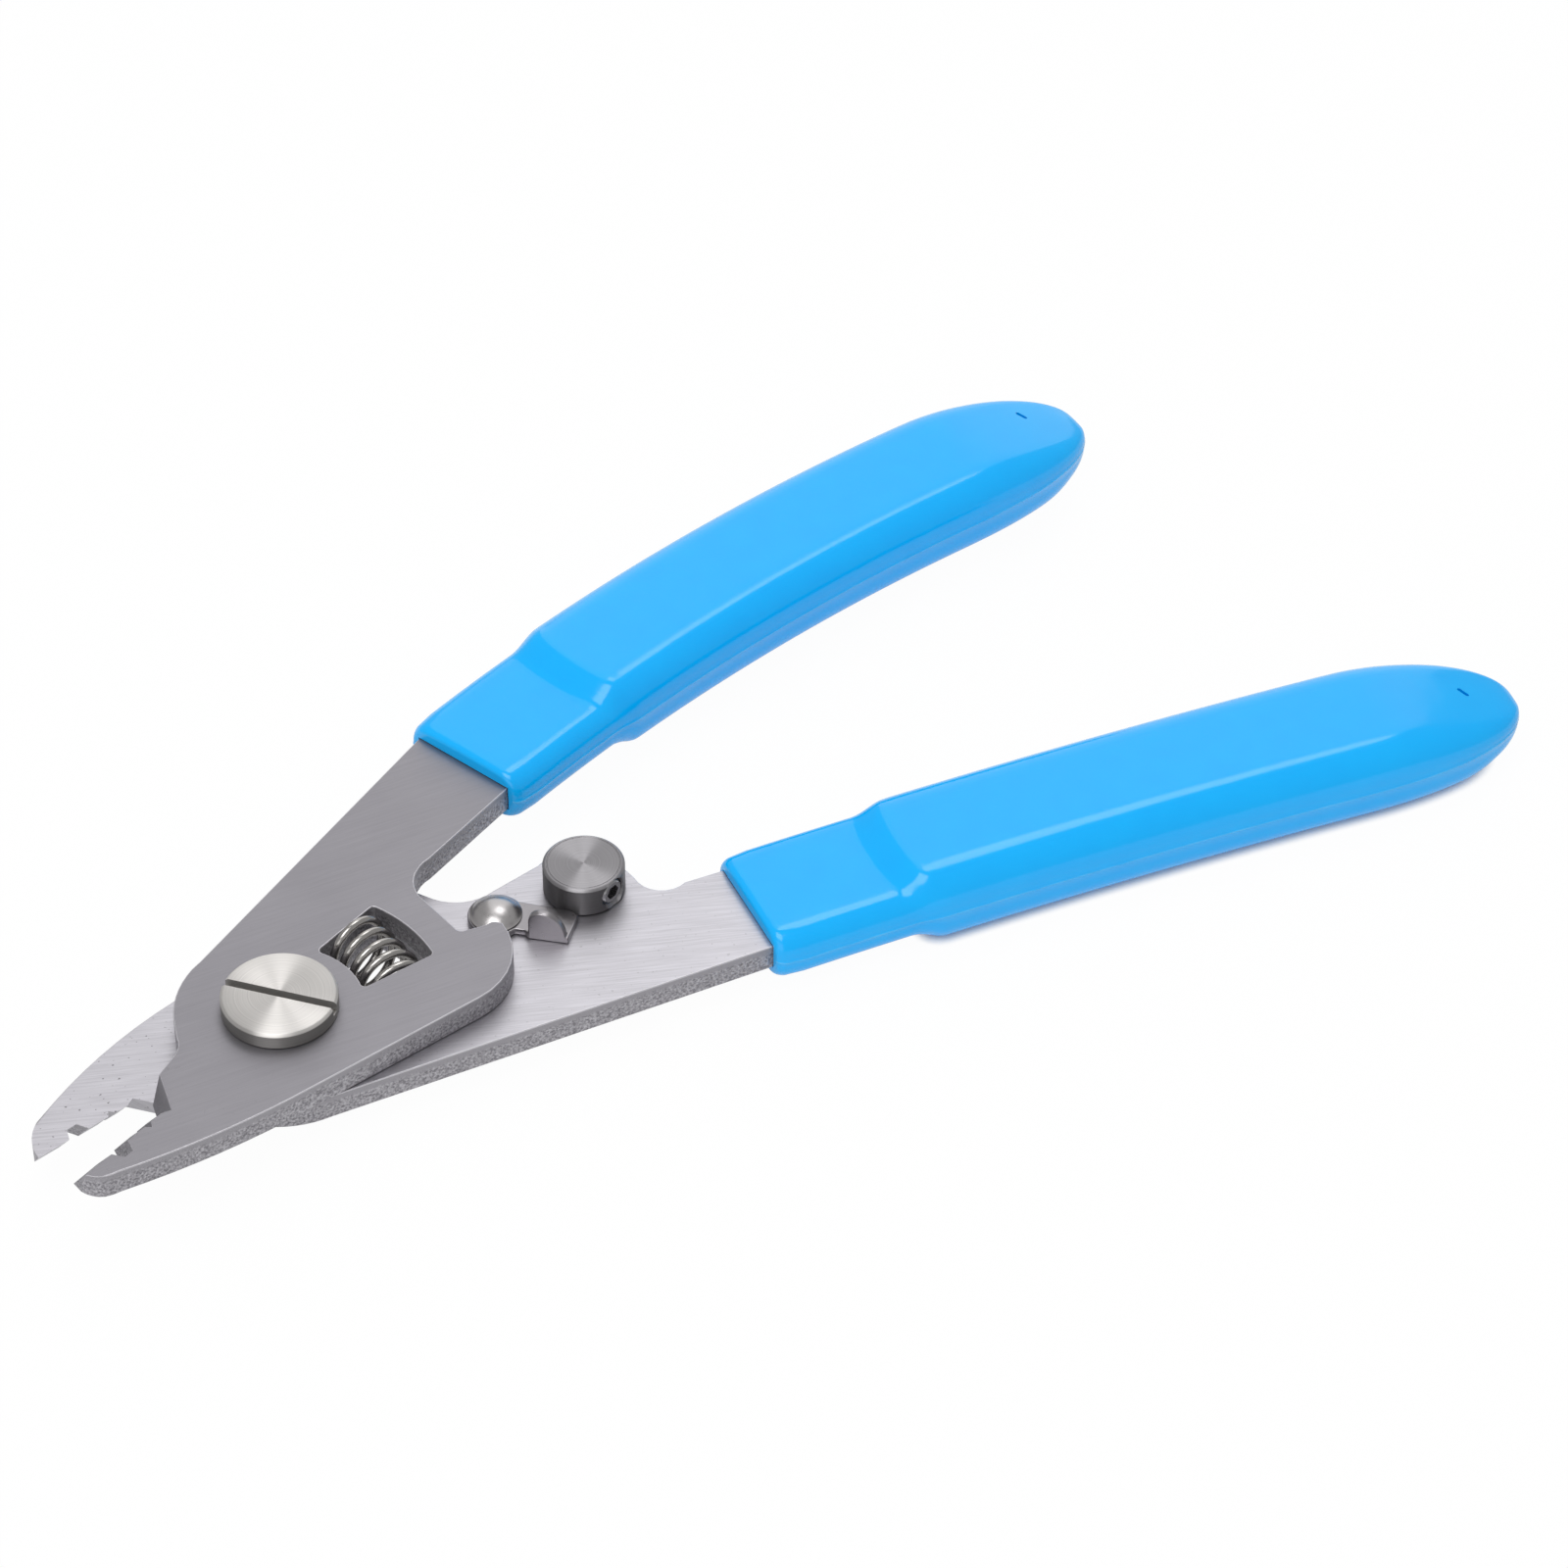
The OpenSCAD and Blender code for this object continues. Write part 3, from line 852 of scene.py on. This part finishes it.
@dataclass
class Grip:
    """A vinyl grip moulded round a tang: flat neck, raised shoulder, body and rounded end."""

    node: str
    body: Body
    mouth: tuple[float, float]
    direction: float
    bend: float
    level: float
    slit: tuple[float, float, float]
    length: float = 89.5
    width: float = 16.6
    thickness: float = 9.6
    tang_width: float = 12.4
    tang_thickness: float = 3.0
    tang_short: float = 9.0
    clearance: float = 0.1
    neck_wall: float = 1.7
    neck_length: float = 15.5
    shoulder_length: float = 4.0
    edge_radius: float = 3.8
    foot_radius: float = 3.4
    cap_length: float = 21.0
    tip_length: float = 9.0
    slope_length: float = 18.0
    slope_drop: float = 2.6
    rim: float = 1.0
    corner: float = 2.6
    seam_height: float = 0.1
    seam_width: float = 0.3
    crown: float = 0.2
    bow: float = 2.1
    corner_steps: int = 10
    rim_steps: int = 6
    neck_steps: int = 6
    rise_steps: int = 22
    body_steps: int = 24
    end_steps: int = 40
    end_angle: float = 88.0  # the last section stops just short of the tip
    width_power: float = 2.3
    height_power: float = 2.2
    rim_share: float = 0.6
    corner_share: float = 0.4
    corner_limit: float = 0.8
    flat_shares: tuple[float, ...] = (0.8, 0.6, 0.4, 0.2)
    pocket_steps: int = 12
    pocket_arc_steps: int = 16
    slit_size: tuple[float, float, float] = (1.5, 0.45, 1.6)

    def heading(self, s: float) -> float:
        """The direction of the grip's middle line at the distance s from its mouth."""
        return self.direction + self.bend * s / self.length

    def beside(self, s: float, side: float) -> tuple[float, float]:
        """A point beside the grip's middle line.

        Args:
            s: Distance from the mouth along the line.
            side: Distance to the left of the line.

        Returns:
            The point's x and y.
        """
        radius = self.length / math.radians(self.bend)
        start, here = math.radians(self.direction), math.radians(self.heading(s))
        x = self.mouth[0] + radius * (math.sin(here) - math.sin(start))
        y = self.mouth[1] - radius * (math.cos(here) - math.cos(start))
        return x - side * math.sin(here), y + side * math.cos(here)

    def cap_share(self, s: float, cap: float, power: float) -> float:
        """How much of the full section is left at s, where the end is rounded over a length cap."""
        u = max(0.0, (s - self.length + cap) / cap)
        return max(0.0, 1 - min(1.0, u) ** power) ** (1 / power)

    def rim_loss(self, s: float, r: float) -> float:
        """How far an edge rounded with the radius r lies inside the neck's surface at s."""
        return 0.0 if s >= r else r - math.sqrt(r**2 - (r - s) ** 2)

    def level_at(self, s: float) -> float:
        """Half the thickness at s, which rises over the shoulder.

        Args:
            s: Distance from the mouth.

        Returns:
            Half the thickness.
        """
        neck = self.tang_thickness / 2 + self.neck_wall
        rise = ease((s - self.neck_length) / self.shoulder_length)
        return neck + (self.thickness / 2 - neck) * rise

    def half_sizes(self, s: float) -> tuple[float, float, float]:
        """Half the width, and the height of the top and of the foot over the tang's middle.

        Args:
            s: Distance from the mouth.

        Returns:
            Half the width, the top's height and the foot's depth.
        """
        rise = ease((s - self.neck_length) / self.shoulder_length)
        drop = self.slope_drop * ease((s - self.length + self.slope_length) / self.slope_length)
        neck_w = self.tang_width / 2 + self.neck_wall
        lost = self.rim_share * self.rim_loss(s, self.rim)
        tip = self.cap_share(s, self.tip_length, self.height_power)
        w = neck_w + (self.width / 2 - neck_w) * rise
        w *= self.cap_share(s, self.cap_length, self.width_power)
        w -= self.corner_share * self.rim_loss(s, self.corner)
        t = self.level_at(s)
        return w, (t - drop) * tip - lost, t * tip - lost

    def bowed(self, s: float, share: float) -> float:
        """How much higher the top is at s, because the shoulder bows towards the mouth.

        Args:
            s: Distance from the mouth.
            share: Place across the width, from -1 to 1.

        Returns:
            The factor on the height.
        """
        return self.level_at(s + self.bow * (1 - abs(share) ** 3)) / self.level_at(s)

    def section(self, s: float) -> list[tuple[float, float, float]]:
        """One rounded section with the mould's parting line at the middle of each side.

        Args:
            s: Distance from the mouth.

        Returns:
            Points [sideways, up, share of the parting line], counter-clockwise from the right seam.
        """
        w, top, foot = self.half_sizes(s)
        n = self.corner_steps
        proud = self.seam_height * min(1.0, w / 4)
        half = min(self.seam_width / 2, 0.15 * top)
        corners = []
        for height, radius in ((top, self.edge_radius), (foot, self.foot_radius)):
            r = min(radius, self.corner_limit * height, self.corner_limit * w)
            arc = [polar(r, 90 * i / n, (w - r, height - r)) for i in range(n + 1)]
            flat = [((w - r) * k, height) for k in self.flat_shares]
            corners.append([(w, half), *arc, *flat])
        upper, lower = corners
        crown = self.crown * min(1.0, w / 4) / top
        upper = [(x, z * self.bowed(s, x / w) - crown * z * (x / w) ** 2) for x, z in upper]
        ring = [(w + proud, 0.0, 1.0)]
        ring += [(x, z, 0.0) for x, z in upper] + [(0.0, top * self.bowed(s, 0), 0.0)]
        ring += [(-x, z, 0.0) for x, z in reversed(upper)]
        ring += [(-w - proud, 0.0, 1.0)]
        ring += [(-x, -z, 0.0) for x, z in lower] + [(0.0, -foot, 0.0)]
        ring += [(x, -z, 0.0) for x, z in reversed(lower)]
        return ring

    def stations(self) -> list[float]:
        """The distances from the mouth at which sections are made.

        Returns:
            The distances in order, in millimetres.
        """
        start = self.length - self.slope_length
        rise_end = self.neck_length + self.shoulder_length
        rims, backs = self.rim_steps, self.neck_steps
        rises, bodies = self.rise_steps, self.body_steps
        found = [self.rim * (1 - math.cos(math.pi / 2 * i / rims)) for i in range(rims + 1)]
        bow_start = self.neck_length - self.bow
        found += [self.rim + (bow_start - self.rim) * i / backs for i in range(1, backs)]
        found += [bow_start + (rise_end - bow_start) * i / rises for i in range(rises + 1)]
        found += [rise_end + (start - rise_end) * i / bodies for i in range(1, bodies)]
        found += [
            start + self.slope_length * math.sin(math.radians(self.end_angle * i / self.end_steps))
            for i in range(self.end_steps + 1)
        ]
        return found

    def shell(self) -> bpy.types.Object:
        """Lofts the sections along the bowed middle line and closes both ends.

        Returns:
            The closed outer shape.
        """
        points: list[Sequence[float]] = []
        seam: list[float] = []
        rings = [(s, self.section(s)) for s in self.stations()]
        for s, ring in rings:
            for side, up, share in ring:
                points.append((*self.beside(s, side), self.level + up))
                seam.append(share)
        m, last = len(rings[0][1]), (len(rings) - 1) * len(rings[0][1])
        faces = [list(range(m))[::-1]]
        for base in range(0, last, m):
            for k in range(m):
                after = (k + 1) % m
                faces.append([base + k, base + after, base + m + after, base + m + k])
        points.append((*self.beside(self.length, 0), self.level))
        seam.append(0.0)
        faces += [[last + k, last + (k + 1) % m, len(points) - 1] for k in range(m)]
        shape = mesh_object(self.node + "_moulding", points, faces)
        layer = shape.data.attributes.new("seam", "FLOAT", "POINT")
        layer.data.foreach_set("value", seam)
        check = bmesh.new()
        check.from_mesh(shape.data)
        bmesh.ops.recalc_face_normals(check, faces=check.faces)
        check.to_mesh(shape.data)
        check.free()
        return shape

    def pocket(self) -> bpy.types.Object:
        """The space for the tang inside the grip.

        Returns:
            The closed tool to cut with.
        """
        r, n = self.tang_width / 2 + self.clearance, self.pocket_steps
        end = self.length - self.tang_short + self.clearance - r
        start = -2 * self.rim
        run = [start + (end - start) * i / n for i in range(n + 1)]
        centre = self.beside(end, 0)
        turn, arc = self.heading(end), self.pocket_arc_steps
        outline = [self.beside(s, -r) for s in run[:-1]]
        outline += [polar(r, turn - 90 + 180 * i / arc, centre) for i in range(arc + 1)]
        outline += [self.beside(s, r) for s in reversed(run[:-1])]
        half = self.tang_thickness / 2 + self.clearance
        return prism("pocket", outline, self.level - half, self.level + half)

    def slit_cutter(self) -> bpy.types.Object:
        """The small vent slit that the mould's hanger leaves near the end.

        Returns:
            The closed tool to cut with.
        """
        x, y, turn = self.slit
        long, wide, deep = self.slit_size
        ends = []
        for flip in (1, -1):
            centre = polar(flip * (long - wide) / 2, turn, (x, y))
            ends += [polar(wide / 2, turn - flip * 90 + 30 * i, centre) for i in range(7)]
        s = (Vector((x, y)) - Vector(self.mouth)).length
        top = self.level + self.half_sizes(s)[1]
        return prism("slit", ends, top - deep, top + 2)

    def build(self, vinyl: bpy.types.Material) -> bpy.types.Object:
        """Makes the grip.

        Args:
            vinyl: Its material.

        Returns:
            The piece.
        """
        shape = carve(carve(self.shell(), self.pocket()), self.slit_cutter())
        return dress(crease(shape, SMOOTH_BELOW), vinyl, self.body, self.node)


# ---- Pivot ----


@dataclass
class Pivot:
    """The slotted shoulder screw and the nut that hold the levers together."""

    head_diameter: float = 12.0
    head_low: float = 9.4
    head_top: float = 11.3
    chamfer: float = 0.3
    shoulder: float = 8.0
    thread: float = 6.0
    parting: float = 6.3
    slot_width: float = 0.9
    slot_depth: float = 1.1
    slot_direction: float = -54.6
    nut_edge_break: float = 0.08

    def screw(self, steel: bpy.types.Material) -> bpy.types.Object:
        """Makes the screw: a turned head with a sawn slot, a shoulder and a plain end.

        Args:
            steel: Its material.

        Returns:
            The piece.
        """
        r, low, top, c = self.head_diameter / 2, self.head_low, self.head_top, self.chamfer
        t, s = self.thread / 2, self.shoulder / 2
        profile = [
            (0, 0), (t - 0.5, 0), (t, 0.45), (t, self.parting), (s, self.parting), (s, low),
            (r - 0.12, low), (r, low + 0.12), (r, top - c), (r - 0.04, top - c + 0.06),
            (r - c + 0.04, top - 0.04), (r - c - 0.05, top), (0.6 * r, top), (0, top),
        ]
        shape = lathe("pivot_screw_turned", profile, (0, 0), 128)
        half = self.slot_width / 2
        reach = self.head_diameter
        corners = [(-reach, -half), (reach, -half), (reach, half), (-reach, half)]
        spun = [
            polar(math.hypot(x, y), self.slot_direction + math.degrees(math.atan2(y, x)))
            for x, y in corners
        ]
        carve(shape, prism("slot", spun, top - self.slot_depth, top + 1))
        return dress(crease(shape, 25), steel, Body.FIXED, "pivot_screw")

    def nut(self, steel: bpy.types.Material) -> bpy.types.Object:
        """Makes the chamfered hexagon nut.

        Args:
            steel: Its material.

        Returns:
            The piece.
        """
        shape = soften(node_copy("pivot_nut", "pivot_nut_formed"), self.nut_edge_break, 25)
        return dress(shape, steel, Body.FIXED, "pivot_nut")


# ---- Return spring ----


@dataclass
class ReturnSpring:
    """The coil spring that lies in the windows of both levers and opens the handles."""

    coil: float = 7.2
    wire: float = 0.9
    turns: float = 4.5
    mean_radius: float = 12.65
    half_length: float = 3.65
    fan: float = 8.0
    tilt: float = 12.0
    direction: float = 5.2
    level: float = 6.325
    steps: int = 240
    wire_sides: int = 14

    def tree(self) -> bpy.types.NodeTree:
        """Builds the node tree that winds the wire.

        Returns:
            The tree, with named inputs for the coil's sizes.
        """
        tree = bpy.data.node_groups.new("wound_wire", "GeometryNodeTree")
        add = partial(add_node, tree)
        face = tree.interface
        face.new_socket("Geometry", in_out="OUTPUT", socket_type="NodeSocketGeometry")
        for name in ("Coil radius", "Wire radius", "Turns", "Mean radius", "Half length", "Fan",
                     "Tilt", "Direction", "Level"):
            face.new_socket(name, in_out="INPUT", socket_type="NodeSocketFloat")
        face.new_socket("Steps", in_out="INPUT", socket_type="NodeSocketInt")
        face.new_socket("Material", in_out="INPUT", socket_type="NodeSocketMaterial")
        given = add("NodeGroupInput").outputs

        line = add("GeometryNodeCurvePrimitiveLine", {"End": (1, 0, 0)}).outputs["Curve"]
        line = add("GeometryNodeResampleCurve", {
            "Curve": line, "Count": given["Steps"],
        }).outputs["Curve"]
        share = add("GeometryNodeSplineParameter").outputs["Factor"]
        steps = (
            ("spread", "MULTIPLY_ADD", "share", 2.0, -1.0),
            ("turned", "MULTIPLY", "share", "Turns"),
            ("angle", "MULTIPLY", "turned", math.tau),
            ("cosine", "COSINE", "angle"),
            ("sine", "SINE", "angle"),
            ("out", "MULTIPLY", "cosine", "Coil radius"),
            ("lean", "MULTIPLY", "spread", "Fan"),
            ("out_x", "COSINE", "lean"),
            ("out_y", "SINE", "lean"),
            ("along", "MULTIPLY", "spread", "Half length"),
            ("slope", "TANGENT", "Tilt"),
            ("climb", "MULTIPLY_ADD", "along", "slope", "Level"),
            ("x", "MULTIPLY_ADD", "out", "out_x", "Mean radius"),
            ("y", "MULTIPLY_ADD", "out", "out_y", "along"),
            ("z", "MULTIPLY_ADD", "sine", "Coil radius", "climb"),
        )
        found = {"share": share, **{socket.name: socket for socket in given}}
        for name, operation, *sources in steps:
            values = {i: found.get(source, source) for i, source in enumerate(sources)}
            found[name] = add("ShaderNodeMath", values, operation=operation).outputs["Value"]
        place = add("ShaderNodeCombineXYZ", {
            "X": found["x"], "Y": found["y"], "Z": found["z"],
        }).outputs["Vector"]
        place = add("ShaderNodeVectorRotate", {
            "Vector": place, "Angle": given["Direction"],
        }, rotation_type="Z_AXIS").outputs["Vector"]
        wound = add("GeometryNodeSetPosition", {
            "Geometry": line, "Position": place,
        }).outputs["Geometry"]
        round_wire = add("GeometryNodeCurvePrimitiveCircle", {
            "Resolution": self.wire_sides, "Radius": given["Wire radius"],
        }).outputs["Curve"]
        solid = add("GeometryNodeCurveToMesh", {
            "Curve": wound, "Profile Curve": round_wire, "Fill Caps": True,
        }).outputs["Mesh"]
        solid = add("GeometryNodeRealizeInstances", {"Geometry": solid}).outputs["Geometry"]
        solid = add("GeometryNodeSetMaterial", {
            "Geometry": solid, "Material": given["Material"],
        }).outputs["Geometry"]
        add("NodeGroupOutput", {"Geometry": solid})
        return tree

    def build(self, steel: bpy.types.Material) -> bpy.types.Object:
        """Winds the spring into a plain mesh, on no body.

        Args:
            steel: Its material.

        Returns:
            The piece.
        """
        shape = mesh_object("return_spring_wire", [(0, 0, 0)], [])
        tree = self.tree()
        winding = shape.modifiers.new("winding", "NODES")
        winding.node_group = tree
        values = {
            "Coil radius": (self.coil - self.wire) / 2 * MM,
            "Wire radius": self.wire / 2 * MM,
            "Turns": self.turns,
            "Mean radius": self.mean_radius * MM,
            "Half length": self.half_length * MM,
            "Fan": math.radians(self.fan),
            "Tilt": math.radians(self.tilt),
            "Direction": math.radians(self.direction),
            "Level": self.level * MM,
            "Steps": self.steps,
            "Material": steel,
        }
        for socket in tree.interface.items_tree:
            if socket.in_out == "INPUT":
                winding[socket.identifier] = values[socket.name]
        baked(shape)
        crease(shape, SMOOTH_BELOW)
        dress(shape, steel, None, "return_spring")
        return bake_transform(shape)


# ---- Latch ----


@dataclass
class Latch:
    """The swinging latch that holds the handles shut, and the domed rivet that it turns on."""

    rivet: tuple[float, float] = (26.2, -0.75)
    rivet_diameter: float = 3.0
    dome_diameter: float = 5.5
    dome_height: float = 1.3
    dome_steps: int = 13
    seat: float = 7.2
    tail_low: float = 2.7
    plate_low: float = 3.3
    tail_extra: float = 1.0
    edge_break: float = 0.14

    def arm(self, nickel: bpy.types.Material) -> bpy.types.Object:
        """Makes the pressed arm with its eye and upright tab.

        Args:
            nickel: Its material.

        Returns:
            The piece.
        """
        shape = soften(node_copy("latch", "latch_pressing"), self.edge_break, steps=3)
        return dress(shape, nickel, Body.LATCH, "latch")

    def dome(self, nickel: bpy.types.Material) -> bpy.types.Object:
        """Makes the rivet.

        Args:
            nickel: Its material.

        Returns:
            The piece.
        """
        r, h = self.dome_diameter / 2, self.dome_height
        ball = (r * r + h * h) / (2 * h)
        reach = math.degrees(math.asin(r / ball))
        tail = self.rivet_diameter / 2 + self.tail_extra
        profile = [
            (0, self.tail_low), (tail - 0.3, self.tail_low), (tail, self.tail_low + 0.3),
            (tail, self.plate_low), (self.rivet_diameter / 2, self.plate_low),
            (self.rivet_diameter / 2, self.seat), (r - 0.1, self.seat), (r, self.seat + 0.1),
        ]
        for i in range(1, self.dome_steps):
            a = math.radians(reach * (1 - i / self.dome_steps))
            profile.append((ball * math.sin(a), self.seat + h - ball + ball * math.cos(a)))
        profile.append((0, self.seat + h))
        shape = lathe("latch_rivet_dome", profile, self.rivet, 72)
        return dress(crease(shape), nickel, Body.FIXED, "latch_rivet")


# ---- Closing stop ----


@dataclass
class ClosingStop:
    """The eccentric collar on its post, with the set screw that locks it."""

    post: tuple[float, float] = (36.1, -1.7)
    post_diameter: float = 4.0
    diameter: float = 8.6
    height: float = 3.5
    throw: float = 0.8
    chamfer: float = 0.25
    direction: float = -78.0
    low: float = 6.4
    roof: float = 0.5
    clearance: float = 0.05
    screw_diameter: float = 3.0
    screw_fit: float = 0.02
    mouth_chamfer: float = 0.22
    tail_low: float = 2.7
    tail_extra: float = 0.8
    plate_low: float = 3.3
    socket_flats: float = 1.5
    socket_depth: float = 1.2

    def centre(self) -> tuple[float, float]:
        """The collar's own middle, off the post by the throw."""
        return polar(self.throw, self.direction, self.post)

    def cross_rod(
        self, name: str, profile: Sequence[Sequence[float]], segments: int
    ) -> bpy.types.Object:
        """Turns a profile about the set screw's level axis.

        Args:
            name: The object's name.
            profile: Points [radius, distance from the post] from axis to axis.
            segments: Number of faces round the axis.

        Returns:
            The object.
        """
        shape = lathe(name, profile, (0, 0), segments)
        turn = math.radians(self.direction)
        ahead = Vector((math.cos(turn), math.sin(turn), 0))
        level = (self.low + self.height / 2) * MM
        start = Vector((self.post[0] * MM, self.post[1] * MM, level))
        side = Vector((-ahead.y, ahead.x, 0))
        for vertex in shape.data.vertices:
            a, b, along = vertex.co
            vertex.co = start + ahead * along + side * a + Vector((0, 0, b))
        return shape

    def collar(self, steel: bpy.types.Material) -> bpy.types.Object:
        """Makes the collar with its blind bore and its tapped side hole.

        Args:
            steel: Its material.

        Returns:
            The piece.
        """
        r, c, top = self.diameter / 2, self.chamfer, self.low + self.height
        profile = [
            (0, self.low), (r - 0.1, self.low), (r, self.low + 0.1), (r, top - c),
            (r - 0.03, top - c + 0.05), (r - c + 0.03, top - 0.04), (r - c - 0.04, top),
            (r - c - 0.16, top), (r - c - 0.2, top - 0.04), (r - c - 0.28, top - 0.04),
            (r - c - 0.32, top), (0.5 * r, top), (0, top),
        ]
        shape = lathe("stop_collar_turned", profile, self.centre(), 112)
        bore, start, end = self.post_diameter / 2 + self.clearance, self.low - 1, top - self.roof
        inside = [(0, start), (bore, start), (bore, end), (0, end)]
        carve(shape, lathe("bore", inside, self.post, 64))
        hole = self.screw_diameter / 2 + self.screw_fit
        face = self.diameter / 2 + self.throw
        bored = [
            (0, 0), (hole, 0), (hole, face - self.mouth_chamfer - 0.28),
            (hole + self.mouth_chamfer + 0.6, face + 0.6), (0, face + 0.6),
        ]
        carve(shape, self.cross_rod("hole", bored, 48))
        return dress(crease(shape, 25), steel, Body.STOP, "stop_collar")

    def set_screw(self, steel: bpy.types.Material) -> bpy.types.Object:
        """Makes the set screw with a chamfered rim and a hexagon socket.

        Args:
            steel: Its material.

        Returns:
            The piece.
        """
        r = self.screw_diameter / 2
        inner = self.post_diameter / 2 + self.clearance
        outer = self.diameter / 2 + self.throw - 0.3
        profile = [
            (0, inner), (r, inner), (r, outer - 0.3), (r - 0.3, outer), (0.95, outer), (0, outer)
        ]
        shape = self.cross_rod("stop_set_screw_turned", profile, 48)
        corner = self.socket_flats / 2 / math.cos(math.pi / 6)
        low, high = outer - self.socket_depth, outer + 1
        sunk = [(0, low), (corner, low), (corner, high), (0, high)]
        carve(shape, self.cross_rod("socket", sunk, 6))
        return dress(crease(shape, 30), steel, Body.STOP, "stop_set_screw")

    def pin(self, steel: bpy.types.Material) -> bpy.types.Object:
        """Makes the riveted post inside the collar.

        Args:
            steel: Its material.

        Returns:
            The piece.
        """
        r, low, plate = self.post_diameter / 2, self.tail_low, self.plate_low
        tail = r + self.tail_extra
        top = self.low + self.height - self.roof - 0.1
        profile = [
            (0, low), (tail - 0.25, low), (tail, low + 0.25), (tail, plate), (r, plate),
            (r, top - 0.2), (r - 0.2, top), (0, top),
        ]
        shape = lathe("stop_post_riveted", profile, self.post, 64)
        return dress(crease(shape, 30), steel, Body.FIXED, "stop_post")


# ---- Studio ----


@dataclass(frozen=True)
class Lamp:
    """A rectangular soft light that faces the tool."""

    name: str
    azimuth: float
    elevation: float
    distance: float
    width: float
    height: float
    power: float


@dataclass
class Studio:
    """The camera, the paper floor and the soft lights."""

    target: tuple[float, float, float] = (62.32, -2.91, 6.3)
    azimuth: float = -38.0
    elevation: float = 43.3
    distance: float = 572.9
    lens: float = 123.75
    floor_size: float = 4000.0
    floor_level: float = -0.15
    sky: float = 0.46
    lamps: tuple[Lamp, ...] = (
        Lamp("rear_strip", 140.0, 38.0, 1000.0, 800.0, 1800.0, 3.2),
        Lamp("high_panel", -62.0, 64.0, 900.0, 520.0, 520.0, 3.0),
        Lamp("edge_panel", 120.0, 67.0, 800.0, 300.0, 330.0, 0.8),
        Lamp("front_fill", -60.0, 16.0, 1000.0, 700.0, 700.0, 1.6),
    )

    def away(self, azimuth: float, elevation: float) -> Vector:
        """The direction from the tool to something at an azimuth and an elevation."""
        a, e = math.radians(azimuth), math.radians(elevation)
        return Vector((math.sin(a) * math.cos(e), -math.cos(a) * math.cos(e), math.sin(e)))

    def camera(self) -> None:
        """Adds the camera."""
        data = bpy.data.cameras.new("camera")
        data.lens = self.lens
        data.sensor_width = 36.0
        data.clip_start, data.clip_end = 0.01, 20.0
        eye = bpy.data.objects.new("camera", data)
        back = self.away(self.azimuth, self.elevation)
        eye.location = (Vector(self.target) + back * self.distance) * MM
        eye.rotation_mode = "QUATERNION"
        eye.rotation_quaternion = (-back).to_track_quat("-Z", "Y")
        bpy.context.scene.collection.objects.link(eye)
        bpy.context.scene.camera = eye

    def floor(self) -> None:
        """Adds the paper that the tool lies on."""
        half = self.floor_size / 2
        z = self.floor_level
        sheet = [(-half, -half, z), (half, -half, z), (half, half, z), (-half, half, z)]
        paper = mesh_object("paper", sheet, [[0, 1, 2, 3]])
        paper.data.materials.append(StudioPaper().make())
        paper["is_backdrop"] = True

    def lights(self) -> None:
        """Adds the lamps and the sky."""
        for lamp in self.lamps:
            data = bpy.data.lights.new(lamp.name, "AREA")
            data.shape = "RECTANGLE"
            data.size, data.size_y = lamp.width * MM, lamp.height * MM
            data.energy = lamp.power
            made = bpy.data.objects.new(lamp.name, data)
            back = self.away(lamp.azimuth, lamp.elevation)
            made.location = (Vector(self.target) + back * lamp.distance) * MM
            made.rotation_mode = "QUATERNION"
            made.rotation_quaternion = (-back).to_track_quat("-Z", "Y")
            bpy.context.scene.collection.objects.link(made)
        world = bpy.data.worlds.new("tent")
        world.use_nodes = True
        tree = world.node_tree
        tree.nodes.clear()
        path = add_node(tree, "ShaderNodeLightPath").outputs["Is Camera Ray"]
        strength = add_node(tree, "ShaderNodeMapRange", {
            "Value": path, "To Min": self.sky, "To Max": 1.0,
        }).outputs["Result"]
        sky = add_node(tree, "ShaderNodeBackground", {
            "Color": (1, 1, 1, 1), "Strength": strength,
        }).outputs["Background"]
        add_node(tree, "ShaderNodeOutputWorld", {"Surface": sky})
        bpy.context.scene.world = world

    def build(self) -> None:
        """Sets up the whole studio."""
        self.camera()
        self.floor()
        self.lights()
        bpy.context.scene.view_settings.view_transform = "Standard"


def corners() -> list[list[float]]:
    """The lowest and highest corner of what is shown, as plain lists."""
    return [list(corner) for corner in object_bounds()]


def main() -> None:
    """Builds the studio and every sub-assembly in order."""
    logging.basicConfig(level=logging.INFO, format="%(name)s %(message)s")
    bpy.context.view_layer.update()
    Studio().build()
    Levers().build()
    vinyl = MouldedVinyl("moulded_soft_vinyl").make()
    Grip(
        "lower_grip", Body.FIXED, mouth=(47.8, -15.4), direction=-13.0, bend=-6.0, level=4.8,
        slit=(128.1, -37.7, -79.0),
    ).build(vinyl)
    Grip(
        "upper_grip", Body.MOVING, mouth=(35.5, 18.0), direction=13.0, bend=-20.4, level=7.85,
        slit=(118.1, 24.8, -74.0),
    ).build(vinyl)
    pivot = Pivot()
    pivot.screw(TurnedSteel("turned_stainless_screw", "#d5d2cf", (0.0, 0.0)).make())
    zinc = PolishedMetal("bright_zinc_hardware", "#b9babc", 0.34).make()
    pivot.nut(zinc)
    ReturnSpring().build(PolishedMetal("drawn_spring_wire", "#b0adaa", 0.2).make())
    latch = Latch()
    latch.arm(PolishedMetal("tumbled_nickel_pressing", "#989598", 0.3).make())
    latch.dome(PolishedMetal("polished_nickel_dome", "#b9b6b6", 0.3).make())
    stop = ClosingStop()
    stop.collar(TurnedSteel("turned_steel_collar", "#9d9b9e", stop.centre()).make())
    stop.set_screw(PolishedMetal("zinc_set_screw", "#a5a4a6", 0.28).make())
    stop.pin(zinc)


if __name__ == "__main__":
    main()
